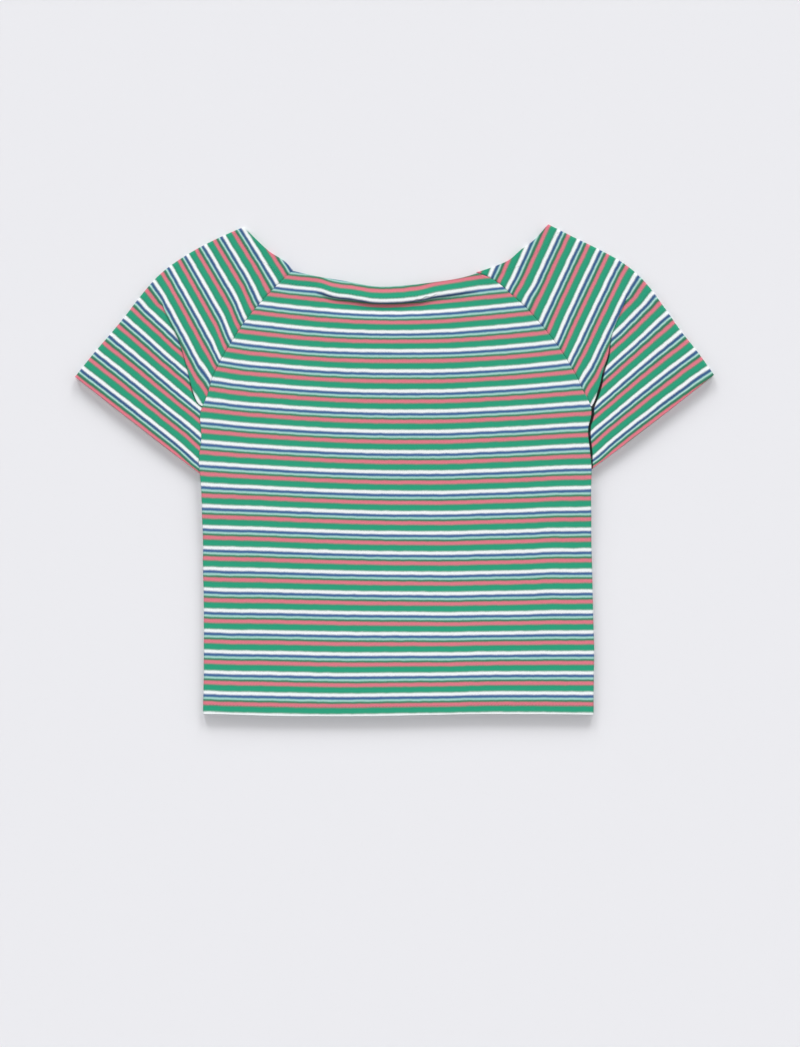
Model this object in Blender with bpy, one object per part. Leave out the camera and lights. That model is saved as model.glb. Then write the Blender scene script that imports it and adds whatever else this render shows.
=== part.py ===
"""A cropped raglan top in striped rib jersey, lying flat on its back.

Each piece is one layer of cloth with a real wall: a front panel, a back panel
and two short raglan sleeves, which are folded over along their top line. The
neck, the cuffs and the hem are turned in, so the cloth is double there. Each
sleeve is swung down by a wedge-shaped pleat. It starts at a bend in the top
fold and deepens towards the armpit, where the sleeve runs in under the edge
of the body. The back has the same pleats, so it mirrors the front.

Plan points are millimetres from the middle of the hem, +X to the wearer's
left and +Y to the neck. Heights are millimetres above the surface the top
lies on. Sleeves are named as worn.
"""

import math
from typing import NamedTuple

import bpy
import bmesh
from mathutils import Vector

MM = 0.001

# Cloth
CLOTH = 1.0
SEAM_GAP = 0.3
LOFT = 2.3

# Turned edges, where a second layer lies inside the first
HEM_BAND = 9.0
NECK_BAND = 12.0
CUFF_BAND = 8.5
BAND_STEP = 0.4

# Plies: one ply's rise, the length of cloth in a tight half turn, and heights
PLY = CLOTH + SEAM_GAP
HALF_TURN = math.pi * PLY / 2
BACK_LEVEL = CLOTH / 2
FRONT_LEVEL = BACK_LEVEL + CLOTH + LOFT
SEAM_HEIGHT = (BACK_LEVEL + FRONT_LEVEL) / 2

# The turn, the cloth in the bend and the ply of a panel edge that lies flat
FLAT_EDGE = (0.0, 1.0, 0.3)

# Sleeve pleats
PLEAT_START = 20.0
SOFT_BEND = 4.0
LEAST_PLY = 0.3
SWING_FADE = 0.25
CUFF_TUCK = 14.0
STACK_MARGIN_IN = 13.0
STACK_MARGIN_OUT = 10.0
STACK_FADE_IN = 45.0
STACK_FADE_OUT = 20.0
STACK_FADE_DOWN = 42.0
BACK_LOW_RISE = 2 * PLY
FRONT_LOW_RISE = 2 * PLY + BACK_LEVEL + PLY - FRONT_LEVEL
FRONT_TOP_RISE = FRONT_LOW_RISE + 2 * PLY

# Neck: how far the front edge dips and how its turned band rolls forward
NECK_DIP = 14.2
BACK_NECK_DROP = 3.0
ROLL_HALF_WIDTH = 76.0
ROLL_MIDDLE = -7.0
ROLL_SOFT_END = 40.0

# How finely the bends, the panels and the sleeves are divided
BEND_STEPS = 4
PANEL_COLUMNS = (0, 0.06, 0.15, 0.27, 0.39, 0.5, 0.61, 0.73, 0.85, 0.94, 1)
LOWER_COLUMNS = (0.2, 0.45, 0.75)
SLEEVE_ROWS = (0, 0.07, 0.15, 0.2, 0.27, 0.4, 0.55, 0.7, 0.85, 1)


class Side(NamedTuple):
    """Plan of one sleeve. A bow is how far an edge swells off its chord.

    A bow is positive to the left of travel on the wearer's left sleeve, and
    mirrored on the other one.
    """

    node: str
    mirror: int
    raglan_top: tuple
    neck_corner: tuple
    pleat_apex: tuple
    cuff_tip: tuple
    cuff_foot: tuple
    armpit: tuple
    raglan_bow: float
    neck_bow: float
    shoulder_bow: float
    arm_bow: float
    cuff_bow: float
    crease_bow: float
    pleat_angle: float


RIGHT = Side(
    node="right_sleeve", mirror=-1,
    raglan_top=(-100, 420), neck_corner=(-147, 462), pleat_apex=(-227, 418.5),
    cuff_tip=(-307, 319), cuff_foot=(-188, 229), armpit=(-186, 292.5),
    raglan_bow=10.5, neck_bow=-0.5, shoulder_bow=2.3, arm_bow=-1.5,
    cuff_bow=1.0, crease_bow=1.0, pleat_angle=math.radians(21.5),
)
LEFT = Side(
    node="left_sleeve", mirror=1,
    raglan_top=(81.5, 419.5), neck_corner=(142, 465), pleat_apex=(233, 413.5),
    cuff_tip=(300, 321), cuff_foot=(185, 232.5), armpit=(184.5, 292.5),
    raglan_bow=11.3, neck_bow=6.3, shoulder_bow=4.2, arm_bow=0.3,
    cuff_bow=0.3, crease_bow=-5.0, pleat_angle=math.radians(24.5),
)


class SideSection(NamedTuple):
    """One section across the body below the armpits.

    turn is how far the side edge curls round, in degrees, and radius how
    tightly. ply is the cloth that lies turned under past the curl, and 0
    where the curl runs on to the side seam.
    """

    height: float
    left: float
    right: float
    turn: float
    radius: float
    ply: float


SIDE_SECTIONS = (
    SideSection(0.0, -185.0, 185.5, 90, 1.3, 0.0),
    SideSection(HEM_BAND, -185.0, 185.6, 90, 1.3, 0.0),
    SideSection(HEM_BAND + BAND_STEP, -185.0, 185.6, 90, 1.3, 0.0),
    SideSection(60.0, -184.0, 185.5, 90, 1.3, 0.0),
    SideSection(115.0, -184.5, 184.5, 90, 1.3, 0.0),
    SideSection(165.0, -185.0, 184.0, 90, 1.3, 0.0),
    SideSection(192.0, -186.0, 183.8, 90, 1.3, 0.0),
    SideSection(205.0, -187.0, 184.2, 90, 1.3, 0.0),
    SideSection(214.0, -187.6, 184.6, 120, 1.0, 0.2),
    SideSection(222.0, -188.0, 185.0, 180, 0.65, 0.4),
    SideSection(231.0, -188.0, 184.8, 180, 0.65, 5.0),
    SideSection(243.0, -187.8, 183.8, 180, 0.65, 9.0),
    SideSection(260.0, -187.6, 183.0, 180, 0.65, 9.0),
    SideSection(275.0, -187.6, 183.6, 180, 0.65, 6.0),
    SideSection(284.0, -187.2, 184.4, 180, 0.65, 0.4),
    SideSection(289.0, -186.6, 184.6, 90, 0.65, 0.2),
)


class RaglanSection(NamedTuple):
    """One section from raglan seam to raglan seam, above the armpits.

    rise is the place on the seams, 0 at the armpit and 1 at the neck. dip is
    the share of the neck's dip that it follows, and roll is its lift in the
    rolled neck band.
    """

    rise: float
    dip: float
    roll: float


SLEEVE_LINE = 0.015
BAND_LINE = 0.905
STEP_LINE = 0.9
RAGLAN_SECTIONS = (
    RaglanSection(0.0, 0.0, 0.0),
    RaglanSection(SLEEVE_LINE, 0.0, 0.0),
    RaglanSection(0.15, 0.05, 0.0),
    RaglanSection(0.3, 0.15, 0.0),
    RaglanSection(0.5, 0.4, 0.0),
    RaglanSection(0.7, 0.7, 0.0),
    RaglanSection(0.86, 0.95, -0.2),
    RaglanSection(STEP_LINE, 1.0, 0.9),
    RaglanSection(BAND_LINE, 1.0, 1.3),
    RaglanSection(0.95, 1.0, 1.5),
    RaglanSection(1.0, 1.0, 0.6),
)
SHOULDER_RISES = (1.0, 0.95, BAND_LINE, STEP_LINE, 0.86, 0.7, 0.5, 0.3, 0.15, SLEEVE_LINE)


def plan(point):
    """A plan point as a vector at height 0."""
    return Vector((point[0], point[1], 0.0))


def left_normal(direction):
    """The plan direction a quarter turn to the left."""
    return Vector((-direction.y, direction.x, 0.0)).normalized()


def bowed(start, end, bow):
    """A function of 0 to 1 that runs from start to end, swelling by bow."""
    normal = left_normal(end - start)

    def at(share):
        return start.lerp(end, share) + normal * (4 * bow * share * (1 - share))

    return at


def smooth(value):
    """Ease from 0 to 1, held at both ends."""
    value = min(max(value, 0.0), 1.0)
    return value * value * (3 - 2 * value)


def slid(point, along, edge, inset):
    """Slide a corner along one edge until it lies inset from another edge."""
    along = along.normalized()
    edge = edge.normalized()
    return point + along * (inset / abs(along.x * edge.y - along.y * edge.x))


def raglan(side, offset):
    """The raglan seam from neck to armpit, moved by offset to the sleeve."""
    start, end = plan(side.raglan_top), plan(side.armpit)
    curve = bowed(start, end, side.mirror * side.raglan_bow)
    shift = left_normal(end - start) * (side.mirror * offset)

    def at(share):
        return curve(share) + shift

    return at


def pleat_depth(side, distance):
    """How a pleat folds at a distance from its apex.

    Returns its turn in radians, the cloth in each bend and the hidden ply.
    """
    excess = side.pleat_angle * max(distance - PLEAT_START, 0.0)
    share = min(excess / (2 * HALF_TURN), 1.0)
    turn = math.sqrt(share) * (math.sqrt(6) + (math.pi - math.sqrt(6)) * share)
    bend = HALF_TURN + SOFT_BEND * (1 - turn / math.pi) ** 2
    ply = max(excess / 2 - HALF_TURN, LEAST_PLY)
    return turn, bend, ply


def bend_point(bend, turn, share):
    """How far across and down cloth is after a share of a bend."""
    if turn < 1e-6:
        return bend * share, 0.0
    radius = bend / turn
    return radius * math.sin(turn * share), radius * (1 - math.cos(turn * share))


def bend_reach(bend, turn):
    """How far the outer skin of a bend stands out past where it starts."""
    quarter = min(turn, math.pi / 2)
    across = bend_point(bend, turn, quarter / turn)[0] if turn > 1e-6 else bend
    return across + CLOTH / 2 * math.sin(quarter)


def pleat_profile(bend, turn, ply):
    """Stations through a pleat: how far across, and the share of its drop."""
    stations = [bend_point(bend, turn, step / BEND_STEPS) for step in range(1, BEND_STEPS + 1)]
    last = stations[-1]
    foot = (last[0] + ply * math.cos(turn), last[1] + ply * math.sin(turn))
    mirrored = [(foot[0] + last[0] - across, foot[1] + last[1] - drop)
                for across, drop in reversed([(0.0, 0.0)] + stations[:-1])]
    stations += [foot] + mirrored
    whole = stations[-1][1]
    if whole < 1e-6:
        count = len(stations)
        return [(across, index / count) for index, (across, _) in enumerate(stations, 1)]
    return [(across, drop / whole) for across, drop in stations]


def stack(side, point):
    """How much the plies lift the cloth at a plan point, from 0 to 1.

    They lift it fully over their hidden depth, along the pleat and down the
    edge of the body to the cuff, and fade out from there.
    """
    apex, armpit = plan(side.pleat_apex), plan(side.armpit)
    foot = plan(side.cuff_foot) - Vector((0, CUFF_TUCK, 0))
    end = foot - Vector((0, STACK_FADE_DOWN, 0))
    best = None
    for index, (start, stop) in enumerate(((apex, armpit), (armpit, foot), (foot, end))):
        run = stop - start
        share = min(max((point - start).dot(run) / run.length_squared, 0.0), 1.0)
        away = point - start.lerp(stop, share)
        if best is None or away.length < best[0]:
            best = (away.length, index, share, run, away)
    distance, index, share, run, away = best
    _, _, deepest = pleat_depth(side, (armpit - apex).length)
    lift, depth = 1.0, deepest + (CUFF_TUCK - deepest) * share
    if index == 0:
        turn, _, depth = pleat_depth(side, share * run.length)
        lift = (1 - math.cos(turn)) / 2
    if index == 2:
        lift, depth = smooth(1 - share), CUFF_TUCK
    inside = (run.x * away.y - run.y * away.x) * side.mirror < 0
    if inside:
        return lift * smooth(1 - max(distance - depth - STACK_MARGIN_IN, 0.0) / STACK_FADE_IN)
    return lift * smooth(1 - max(distance - STACK_MARGIN_OUT, 0.0) / STACK_FADE_OUT)


def front_level(point):
    """Height of the front's cloth at a plan point of the body or shoulder."""
    return FRONT_LEVEL + FRONT_TOP_RISE * max(stack(LEFT, point), stack(RIGHT, point))


def coons(top, bottom, left, right):
    """A patch between four edges, as a function of two shares."""
    corners = (top(0), top(1), bottom(0), bottom(1))

    def at(across, down):
        ruled = top(across) * (1 - down) + bottom(across) * down
        ruled += left(down) * (1 - across) + right(down) * across
        near = corners[0] * (1 - across) + corners[1] * across
        far = corners[2] * (1 - across) + corners[3] * across
        return ruled - near * (1 - down) - far * down

    return at


def sleeve_plan(side):
    """Plan rows of a sleeve's front, from the top fold to the armhole.

    Returns rows of (point, share of the pleat's drop, extra inner cloth).
    """
    inset = (FRONT_LEVEL - BACK_LEVEL) / 2 + CLOTH / 2
    apex, corner = plan(side.pleat_apex), plan(side.neck_corner)
    top, tip, foot = plan(side.raglan_top), plan(side.cuff_tip), plan(side.cuff_foot)
    shoulder, arm = corner - apex, tip - apex
    bisector = shoulder.normalized() + arm.normalized()
    apex_in = slid(apex, bisector, shoulder, inset)
    corner_in = slid(corner, top - corner, shoulder, inset)
    tip_in = slid(tip, foot - tip, arm, inset)
    seam = raglan(side, SEAM_GAP / 2)
    run_down = (plan(side.armpit) - apex).normalized()
    outward = left_normal(run_down) * side.mirror
    along_fold = (arm.normalized() - shoulder.normalized()).normalized()

    def fold_at(down):
        distance = down * (plan(side.armpit) - apex).length
        return pleat_depth(side, distance)

    def out_at(down):
        return along_fold.lerp(outward, smooth(down / SWING_FADE)).normalized()

    last_turn, last_bend, _ = fold_at(1)
    seam_end = 1 - SLEEVE_LINE
    crease_end = seam(seam_end) + outward * bend_reach(last_bend, last_turn)
    crease = bowed(apex_in, crease_end, side.mirror * side.crease_bow)

    def crease_start(down):
        turn, bend, _ = fold_at(down)
        return crease(down) - out_at(down) * bend_reach(bend, turn)

    def crease_stations(down):
        turn, bend, ply = fold_at(down)
        start, out = crease_start(down), out_at(down)
        return [(start + out * across, drop) for across, drop in pleat_profile(bend, turn, ply)]

    def crease_foot(down):
        return crease_stations(down)[-1][0]

    neck = bowed(corner_in, seam(0), side.mirror * side.neck_bow)
    shoulder_line = bowed(corner_in, crease_start(0), side.mirror * side.shoulder_bow)
    arm_line = bowed(crease_foot(0), tip_in, side.mirror * side.arm_bow)
    tucked_foot = foot + (foot - tip).normalized() * CUFF_TUCK
    cuff = bowed(tip_in, tucked_foot, side.mirror * side.cuff_bow)
    armhole = bowed(crease_foot(1), tucked_foot, 0.0)
    shoulder_patch = coons(
        shoulder_line, lambda share: seam(share * seam_end), neck, crease_start)
    lower_patch = coons(arm_line, armhole, crease_foot, cuff)

    rows = []
    for down in SLEEVE_ROWS:
        row = []
        for rise in SHOULDER_RISES:
            across = (1 - rise) / seam_end
            extra = CLOTH if rise >= BAND_LINE else 0.0
            row.append((shoulder_patch(across, down), 0.0, extra))
        row += [(point, drop, 0.0) for point, drop in crease_stations(down)]
        edge = 1 - CUFF_BAND / (lower_patch(1, down) - lower_patch(0, down)).length
        step = edge - (1 - edge) * BAND_STEP / CUFF_BAND
        row += [(lower_patch(step * across, down), 1.0, 0.0) for across in LOWER_COLUMNS + (1,)]
        row += [(lower_patch(across, down), 1.0, CLOTH) for across in (edge, 1)]
        rows.append(row)
    return rows


def sleeve_grid(side):
    """Rows of a whole sleeve: front layer, top fold, back layer."""
    front, back = [], []
    for row in sleeve_plan(side):
        front_row, back_row = [], []
        for point, drop, extra in row:
            lift = stack(side, point)
            high = FRONT_LEVEL + FRONT_TOP_RISE * lift
            low = FRONT_LEVEL + FRONT_LOW_RISE * lift
            floor = BACK_LEVEL + BACK_LOW_RISE * lift * drop
            front_row.append((point + Vector((0, 0, high + (low - high) * drop)), extra * (1 - lift)))
            back_row.append((point + Vector((0, 0, floor)), extra * (1 - lift)))
        front.append(front_row)
        back.append(back_row)
    fold = []
    for step in range(1, BEND_STEPS):
        angle = math.pi * step / BEND_STEPS
        row = []
        for index, ((upper, extra), (lower, _)) in enumerate(zip(front[0], back[0])):
            before = front[0][max(index - 1, 0)][0]
            after = front[0][min(index + 1, len(front[0]) - 1)][0]
            out = left_normal(after - before) * side.mirror
            radius = (upper.z - lower.z) / 2
            middle = (upper + lower) / 2
            offset = out * math.sin(angle) + Vector((0, 0, math.cos(angle)))
            row.append((middle + offset * radius, extra))
        fold.append(row)
    return front[::-1] + fold + back


def panel_row(section_left, section_right, curl_shape, level, upward, middle):
    """One section of a panel, from its left edge's ply to its right edge's.

    curl_shape gives the turn, the cloth in the bend and the ply of its edges.
    upward is 1 for the back, which curls up, and -1 for the front. middle
    moves the points between.
    """
    turn, bend, ply = curl_shape
    reach = bend_reach(bend, turn) + ply * max(math.cos(turn), 0.0)
    start = section_left + Vector((reach, 0, 0))
    end = section_right - Vector((reach, 0, 0))
    curl = [bend_point(bend, turn, step / BEND_STEPS) for step in range(1, BEND_STEPS + 1)]

    def edge(root, outward):
        height = level(root)
        seam_height = SEAM_HEIGHT - upward * SEAM_GAP / 2
        tail = ply or abs(height - seam_height) - curl[-1][1]
        across = curl[-1][0] + tail * math.cos(turn)
        drop = curl[-1][1] + tail * math.sin(turn)
        return [root + Vector((outward * over, 0, height + upward * down))
                for over, down in curl + [(across, drop)]]

    inner = []
    for share in PANEL_COLUMNS:
        point = middle(start.lerp(end, share), share)
        inner.append(point + Vector((0, 0, level(point))))
    return edge(start, -1)[::-1] + inner + edge(end, 1)


def panel_grid(upward, level, neck_drop, rolled):
    """Rows of the front or the back panel, from hem to neck, with inner cloth."""
    rows, extras = [], []
    for section in SIDE_SECTIONS:
        left, right = plan((section.left, section.height)), plan((section.right, section.height))
        turn = math.radians(section.turn)
        curl_shape = (turn, turn * section.radius, section.ply)
        row = panel_row(left, right, curl_shape, level, upward, lambda point, share: point)
        rows.append(row)
        extras.append(CLOTH if section.height <= HEM_BAND else 0.0)
    left_seam, right_seam = raglan(RIGHT, -SEAM_GAP / 2), raglan(LEFT, -SEAM_GAP / 2)
    for section in RAGLAN_SECTIONS:
        dip = section.dip * (NECK_DIP + neck_drop)
        roll = section.roll if rolled else 0.0

        def middle(point, share):
            across = abs(point.x - ROLL_MIDDLE) - ROLL_HALF_WIDTH + ROLL_SOFT_END
            fade = 1 - smooth(across / ROLL_SOFT_END)
            return point + Vector((0, -dip * 4 * share * (1 - share), roll * fade))

        place = 1 - section.rise
        row = panel_row(left_seam(place), right_seam(place), FLAT_EDGE, level, upward, middle)
        rows.append(row)
        extras.append(CLOTH if section.rise >= BAND_LINE else 0.0)
    return [[(point, extra) for point in row] for row, extra in zip(rows, extras)]


def cloth_material(name, colour):
    """A matt knit of one colour."""
    material = bpy.data.materials.new(name)
    material.use_nodes = True
    shader = material.node_tree.nodes["Principled BSDF"]
    shader.inputs["Base Color"].default_value = (*colour, 1.0)
    shader.inputs["Roughness"].default_value = 0.9
    shader.inputs["Metallic"].default_value = 0.0
    return material


def cloth_solid(name, grid, outward, colour):
    """Turn rows of mid-wall points into a closed wall of cloth.

    outward is 1 where the rows' right-hand normal is the outer side. The
    extra cloth of a turned edge goes on the inner side.
    """
    rows, columns = len(grid), len(grid[0])
    mesh = bmesh.new()
    outer, inner = [], []
    for i in range(rows):
        for j in range(columns):
            point, extra = grid[i][j]
            across = grid[i][min(j + 1, columns - 1)][0] - grid[i][max(j - 1, 0)][0]
            along = grid[min(i + 1, rows - 1)][j][0] - grid[max(i - 1, 0)][j][0]
            normal = across.cross(along).normalized() * outward
            outer.append(mesh.verts.new((point + normal * CLOTH / 2) * MM))
            inner.append(mesh.verts.new((point - normal * (CLOTH / 2 + extra)) * MM))
    for i in range(rows - 1):
        for j in range(columns - 1):
            corners = (i * columns + j, i * columns + j + 1,
                       (i + 1) * columns + j + 1, (i + 1) * columns + j)
            mesh.faces.new([outer[corner] for corner in corners])
            mesh.faces.new([inner[corner] for corner in reversed(corners)])
    rim = list(range(columns))
    rim += [i * columns + columns - 1 for i in range(1, rows)]
    rim += [(rows - 1) * columns + j for j in range(columns - 2, -1, -1)]
    rim += [i * columns for i in range(rows - 2, 0, -1)]
    for first, second in zip(rim, rim[1:] + rim[:1]):
        mesh.faces.new((outer[second], outer[first], inner[first], inner[second]))
    bmesh.ops.recalc_face_normals(mesh, faces=mesh.faces)
    data = bpy.data.meshes.new(name)
    mesh.to_mesh(data)
    mesh.free()
    data.shade_smooth()
    data.materials.append(cloth_material(name + "_jersey", colour))
    piece = bpy.data.objects.new(name, data)
    bpy.context.collection.objects.link(piece)
    return piece


def centre_on_origin(pieces):
    """Move every mesh so that the top lies centred on the origin."""
    points = [vertex.co for piece in pieces for vertex in piece.data.vertices]
    middle = [(min(p[axis] for p in points) + max(p[axis] for p in points)) / 2 for axis in (0, 1)]
    for piece in pieces:
        for vertex in piece.data.vertices:
            vertex.co.x -= middle[0]
            vertex.co.y -= middle[1]


def build():
    """Make the four pieces of the top."""
    for old in list(bpy.data.objects):
        bpy.data.objects.remove(old)
    jersey_green = (0.015, 0.38, 0.21)
    front = panel_grid(-1, front_level, 0.0, True)
    back = panel_grid(1, lambda point: BACK_LEVEL, BACK_NECK_DROP, False)
    pieces = [
        cloth_solid("front_body", front, 1, jersey_green),
        cloth_solid("back_body", back, -1, jersey_green),
    ]
    for side in (RIGHT, LEFT):
        pieces.append(cloth_solid(side.node, sleeve_grid(side), side.mirror, jersey_green))
    centre_on_origin(pieces)


build()
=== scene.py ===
"""A cropped raglan top in striped jersey, laid flat on a pale floor.

The front panel, the back panel and the two folded sleeves are thin closed
shells of cloth on the places of their solids. Their stripes follow a map of
knitted courses, so they meet along the raglan seams. Lines of stitches are
made by Geometry Nodes.

Plan points are millimetres from the middle of the hem, +X to the wearer's
left and +Y to the neck. Heights are millimetres above the floor.
"""

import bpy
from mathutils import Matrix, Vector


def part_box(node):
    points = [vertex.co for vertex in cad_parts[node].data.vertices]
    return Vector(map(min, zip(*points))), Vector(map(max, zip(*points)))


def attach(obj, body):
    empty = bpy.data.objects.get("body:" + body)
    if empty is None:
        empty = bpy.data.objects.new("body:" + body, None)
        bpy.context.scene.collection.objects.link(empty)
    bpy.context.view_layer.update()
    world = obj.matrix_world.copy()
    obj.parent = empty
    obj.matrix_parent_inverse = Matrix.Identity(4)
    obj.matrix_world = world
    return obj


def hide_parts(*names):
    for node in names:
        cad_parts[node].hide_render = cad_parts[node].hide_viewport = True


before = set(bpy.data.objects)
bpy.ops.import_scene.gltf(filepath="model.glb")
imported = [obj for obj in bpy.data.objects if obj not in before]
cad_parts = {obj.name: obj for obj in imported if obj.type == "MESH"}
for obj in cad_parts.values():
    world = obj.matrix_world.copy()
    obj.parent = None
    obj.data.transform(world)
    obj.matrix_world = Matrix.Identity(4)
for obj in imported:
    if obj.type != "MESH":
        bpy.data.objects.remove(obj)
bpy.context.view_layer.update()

import logging
import math
from dataclasses import dataclass, field
from enum import Enum
from functools import cached_property
from typing import Callable, NamedTuple, Optional, Union

import bpy
import numpy as np

Array = np.ndarray
Line = Callable[[Array], Array]
Point = tuple[float, float]
Points = tuple[Point, ...]
Material = bpy.types.Material
Object = bpy.types.Object
Tree = bpy.types.NodeTree
Socket = bpy.types.NodeSocket
Setting = Union[float, int, str, tuple, Socket]

LOG = logging.getLogger("crop_top")

MM = 0.001

# Cloth: its wall, the rise of one ply on another, and the cloth in a tight half turn
CLOTH = 0.8
SEAM_GAP = 0.3
PLY = CLOTH + 0.15
HALF_TURN = math.pi * PLY / 2
BACK_LEVEL = CLOTH / 2
FRONT_LEVEL = 3.8
SEAM_HEIGHT = (BACK_LEVEL + FRONT_LEVEL) / 2
EDGE_ROUND = 0.5
RAW_EDGE = EDGE_ROUND * CLOTH / 2
TURNED_EDGE = EDGE_ROUND * CLOTH

# Turned edges, where a second layer lies inside the first
HEM_BAND = 9.0
NECK_BAND = 12.0
CUFF_BAND = 8.5
BAND_STEP = 0.4

# How high the plies of a sleeve's pleat lift the cloth: six lie on each other there
FRONT_TOP_RISE = BACK_LEVEL + 5 * PLY - FRONT_LEVEL
FRONT_LOW_RISE = BACK_LEVEL + 3 * PLY - FRONT_LEVEL
BACK_LOW_RISE = 2 * PLY

# The dip of a raglan seam in the cloth beside it
SEAM_DIP = 0.38
SEAM_DIP_WIDTH = 1.6

# How much of its edge a piece keeps off a raglan seam, since the cloth settles into it
SEAM_SETTLE = 0.85

CLOTH_MAP = "cloth_map"
# The map that places the shade painted into the mouths of tight tucks
PAINTED_SHADE_MAP = "tuck_map"

# Millimetres past a tuck's mouth for cloth that lies in none, so no shade is painted on it
NO_PAINTED_SHADE = 50.0

# Millimetres from a raglan seam for cloth that doesn't come near it
NO_SEAM = 1e3


def table_of(kind: type, *rows: tuple) -> tuple:
    """Make a table: one row with named columns from each tuple."""
    return tuple(kind(*row) for row in rows)


def srgb(code: str) -> tuple[float, float, float, float]:
    """Turn an sRGB hex value with its hash into a linear colour with an alpha of 1."""
    parts = [int(code[i:i + 2], 16) / 255 for i in (1, 3, 5)]
    linear = [p / 12.92 if p <= 0.04045 else ((p + 0.055) / 1.055) ** 2.4 for p in parts]
    return (*linear, 1.0)


def ease(value: Array) -> Array:
    """Ease from 0 to 1, held at both ends."""
    held = np.clip(value, 0.0, 1.0)
    return held * held * (3 - 2 * held)


def unit(vectors: Array) -> Array:
    """Vectors of length 1 along the last axis."""
    return vectors / np.maximum(np.linalg.norm(vectors, axis=-1, keepdims=True), 1e-9)


def apart(start: Array, end: Array) -> float:
    """The distance between two points."""
    return float(np.linalg.norm(end - start))


def left_of(directions: Array) -> Array:
    """Plan directions turned a quarter to the left."""
    return np.stack([-directions[..., 1], directions[..., 0]], axis=-1)


def mix(first: Array, second: Array, share: Array) -> Array:
    """Straight blend of points, share by share."""
    share = np.asarray(share, float)[..., None]
    return first * (1 - share) + second * share


def through(stations: Array, values: Array, places: Array) -> Array:
    """Read a smooth curve that passes through values, straight past its ends.

    Args:
        stations: rising places of the values.
        values: one number or one point for each station.
        places: where the curve is read.

    Returns:
        Numbers or points in the shape of places.
    """
    knots = np.asarray(stations, float)
    heights = np.asarray(values, float)
    columns = heights.reshape(len(knots), -1)
    gaps = np.diff(knots)[:, None]
    slopes = np.diff(columns, axis=0) / gaps
    middle = (slopes[:-1] * gaps[1:] + slopes[1:] * gaps[:-1]) / (gaps[:-1] + gaps[1:])
    tangents = np.vstack([slopes[:1], middle, slopes[-1:]])
    places = np.asarray(places, float)
    flat = places.reshape(-1)
    near = np.clip(np.searchsorted(knots, flat) - 1, 0, len(knots) - 2)
    gap = gaps[near]
    share = (flat - knots[near])[:, None] / gap
    held = np.clip(share, 0.0, 1.0)
    rest = 1 - held
    curve = (1 + 2 * held) * rest**2 * columns[near] + held * rest**2 * gap * tangents[near]
    curve += held**2 * (3 - 2 * held) * columns[near + 1]
    curve -= held**2 * rest * gap * tangents[near + 1]
    curve += np.minimum(share, 0.0) * gap * tangents[near]
    curve += np.maximum(share - 1, 0.0) * gap * tangents[near + 1]
    return curve.reshape(places.shape + heights.shape[1:])


def bowed(start: Array, end: Array, bow: float, share: Array) -> Array:
    """Points from start to end on a line that swells to the left by bow."""
    share = np.asarray(share, float)
    swell = unit(left_of(end - start)) * (4 * bow * share * (1 - share))[..., None]
    return mix(start, end, share) + swell


def bend_reach(turn: float, radius: float) -> float:
    """How far the outer skin of a bend of the mid-wall stands past its start."""
    quarter = math.sin(min(turn, math.pi / 2))
    return radius * quarter + CLOTH / 2 * quarter


class SmoothLine:
    """A smooth plan line through a few points, read by its share of length."""

    samples = 800
    half_step = 0.004

    def __init__(self, points: Array) -> None:
        """Measure the line through plan points in order."""
        self.points = np.asarray(points, float)
        chords = np.linalg.norm(np.diff(self.points, axis=0), axis=1)
        self.knots = np.concatenate([[0.0], np.cumsum(chords)])
        self.fine = np.linspace(0.0, self.knots[-1], self.samples)
        steps = np.diff(through(self.knots, self.points, self.fine), axis=0)
        self.lengths = np.concatenate([[0.0], np.cumsum(np.linalg.norm(steps, axis=1))])
        self.length = float(self.lengths[-1])

    def at(self, share: Array) -> Array:
        """Points at shares of the length."""
        run = np.asarray(share, float) * self.length
        return through(self.knots, self.points, np.interp(run, self.lengths, self.fine))

    def along(self, share: Array) -> Array:
        """Unit directions of travel at shares of the length."""
        share = np.asarray(share, float)
        low, high = np.clip(share - self.half_step, 0, 1), np.clip(share + self.half_step, 0, 1)
        return unit(self.at(high) - self.at(low))

    def share_near(self, point: Array) -> float:
        """The share of length at which the line comes nearest to a point."""
        shares = np.linspace(0, 1, 3 * self.samples // 2 + 1)
        return float(shares[np.argmin(np.linalg.norm(self.at(shares) - point, axis=1))])


def pinned(line: Line, start: Array, end: Array) -> Line:
    """A line carried so that its ends lie on two points."""
    first, last = line(np.array(0.0)), line(np.array(1.0))
    return lambda share: line(share) + mix(start - first, end - last, share)


def patch(top: Line, bottom: Line, left: Line, right: Line, across: Array, down: Array) -> Array:
    """Fill the field between four edges that meet at their corners.

    Args:
        top: edge at down 0, read by across.
        bottom: edge at down 1, read by across.
        left: edge at across 0, read by down.
        right: edge at across 1, read by down.
        across: shares from left to right.
        down: shares from top to bottom, in the shape of across.

    Returns:
        Plan points in the shape of across.
    """
    ends = np.array([0.0, 1.0])
    corners = np.stack([top(ends), bottom(ends)])
    ruled = mix(top(across), bottom(across), down) + mix(left(down), right(down), across)
    flat = mix(mix(corners[0, 0], corners[0, 1], across), mix(corners[1, 0], corners[1, 1], across), down)
    return ruled - flat


def add_node(tree: Tree, kind: str,
             inputs: Optional[dict[Union[int, str], Setting]] = None,
             **settings: object) -> bpy.types.Node:
    """Add a node, its settings and its links.

    Args:
        tree: the tree that gets the node.
        kind: the node's type name.
        inputs: for an input's name or place, a value or the socket to link.
        settings: properties of the node.

    Returns:
        The new node.
    """
    node = tree.nodes.new(kind)
    for name, value in settings.items():
        setattr(node, name, value)
    for name, value in (inputs or {}).items():
        if isinstance(value, bpy.types.NodeSocket):
            tree.links.new(value, node.inputs[name])
        else:
            node.inputs[name].default_value = value
    return node


def math_node(tree: Tree, operation: str, *values: Setting) -> Socket:
    """Add a step of arithmetic and give its result."""
    return add_node(tree, "ShaderNodeMath", dict(enumerate(values)), operation=operation).outputs[0]


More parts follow.
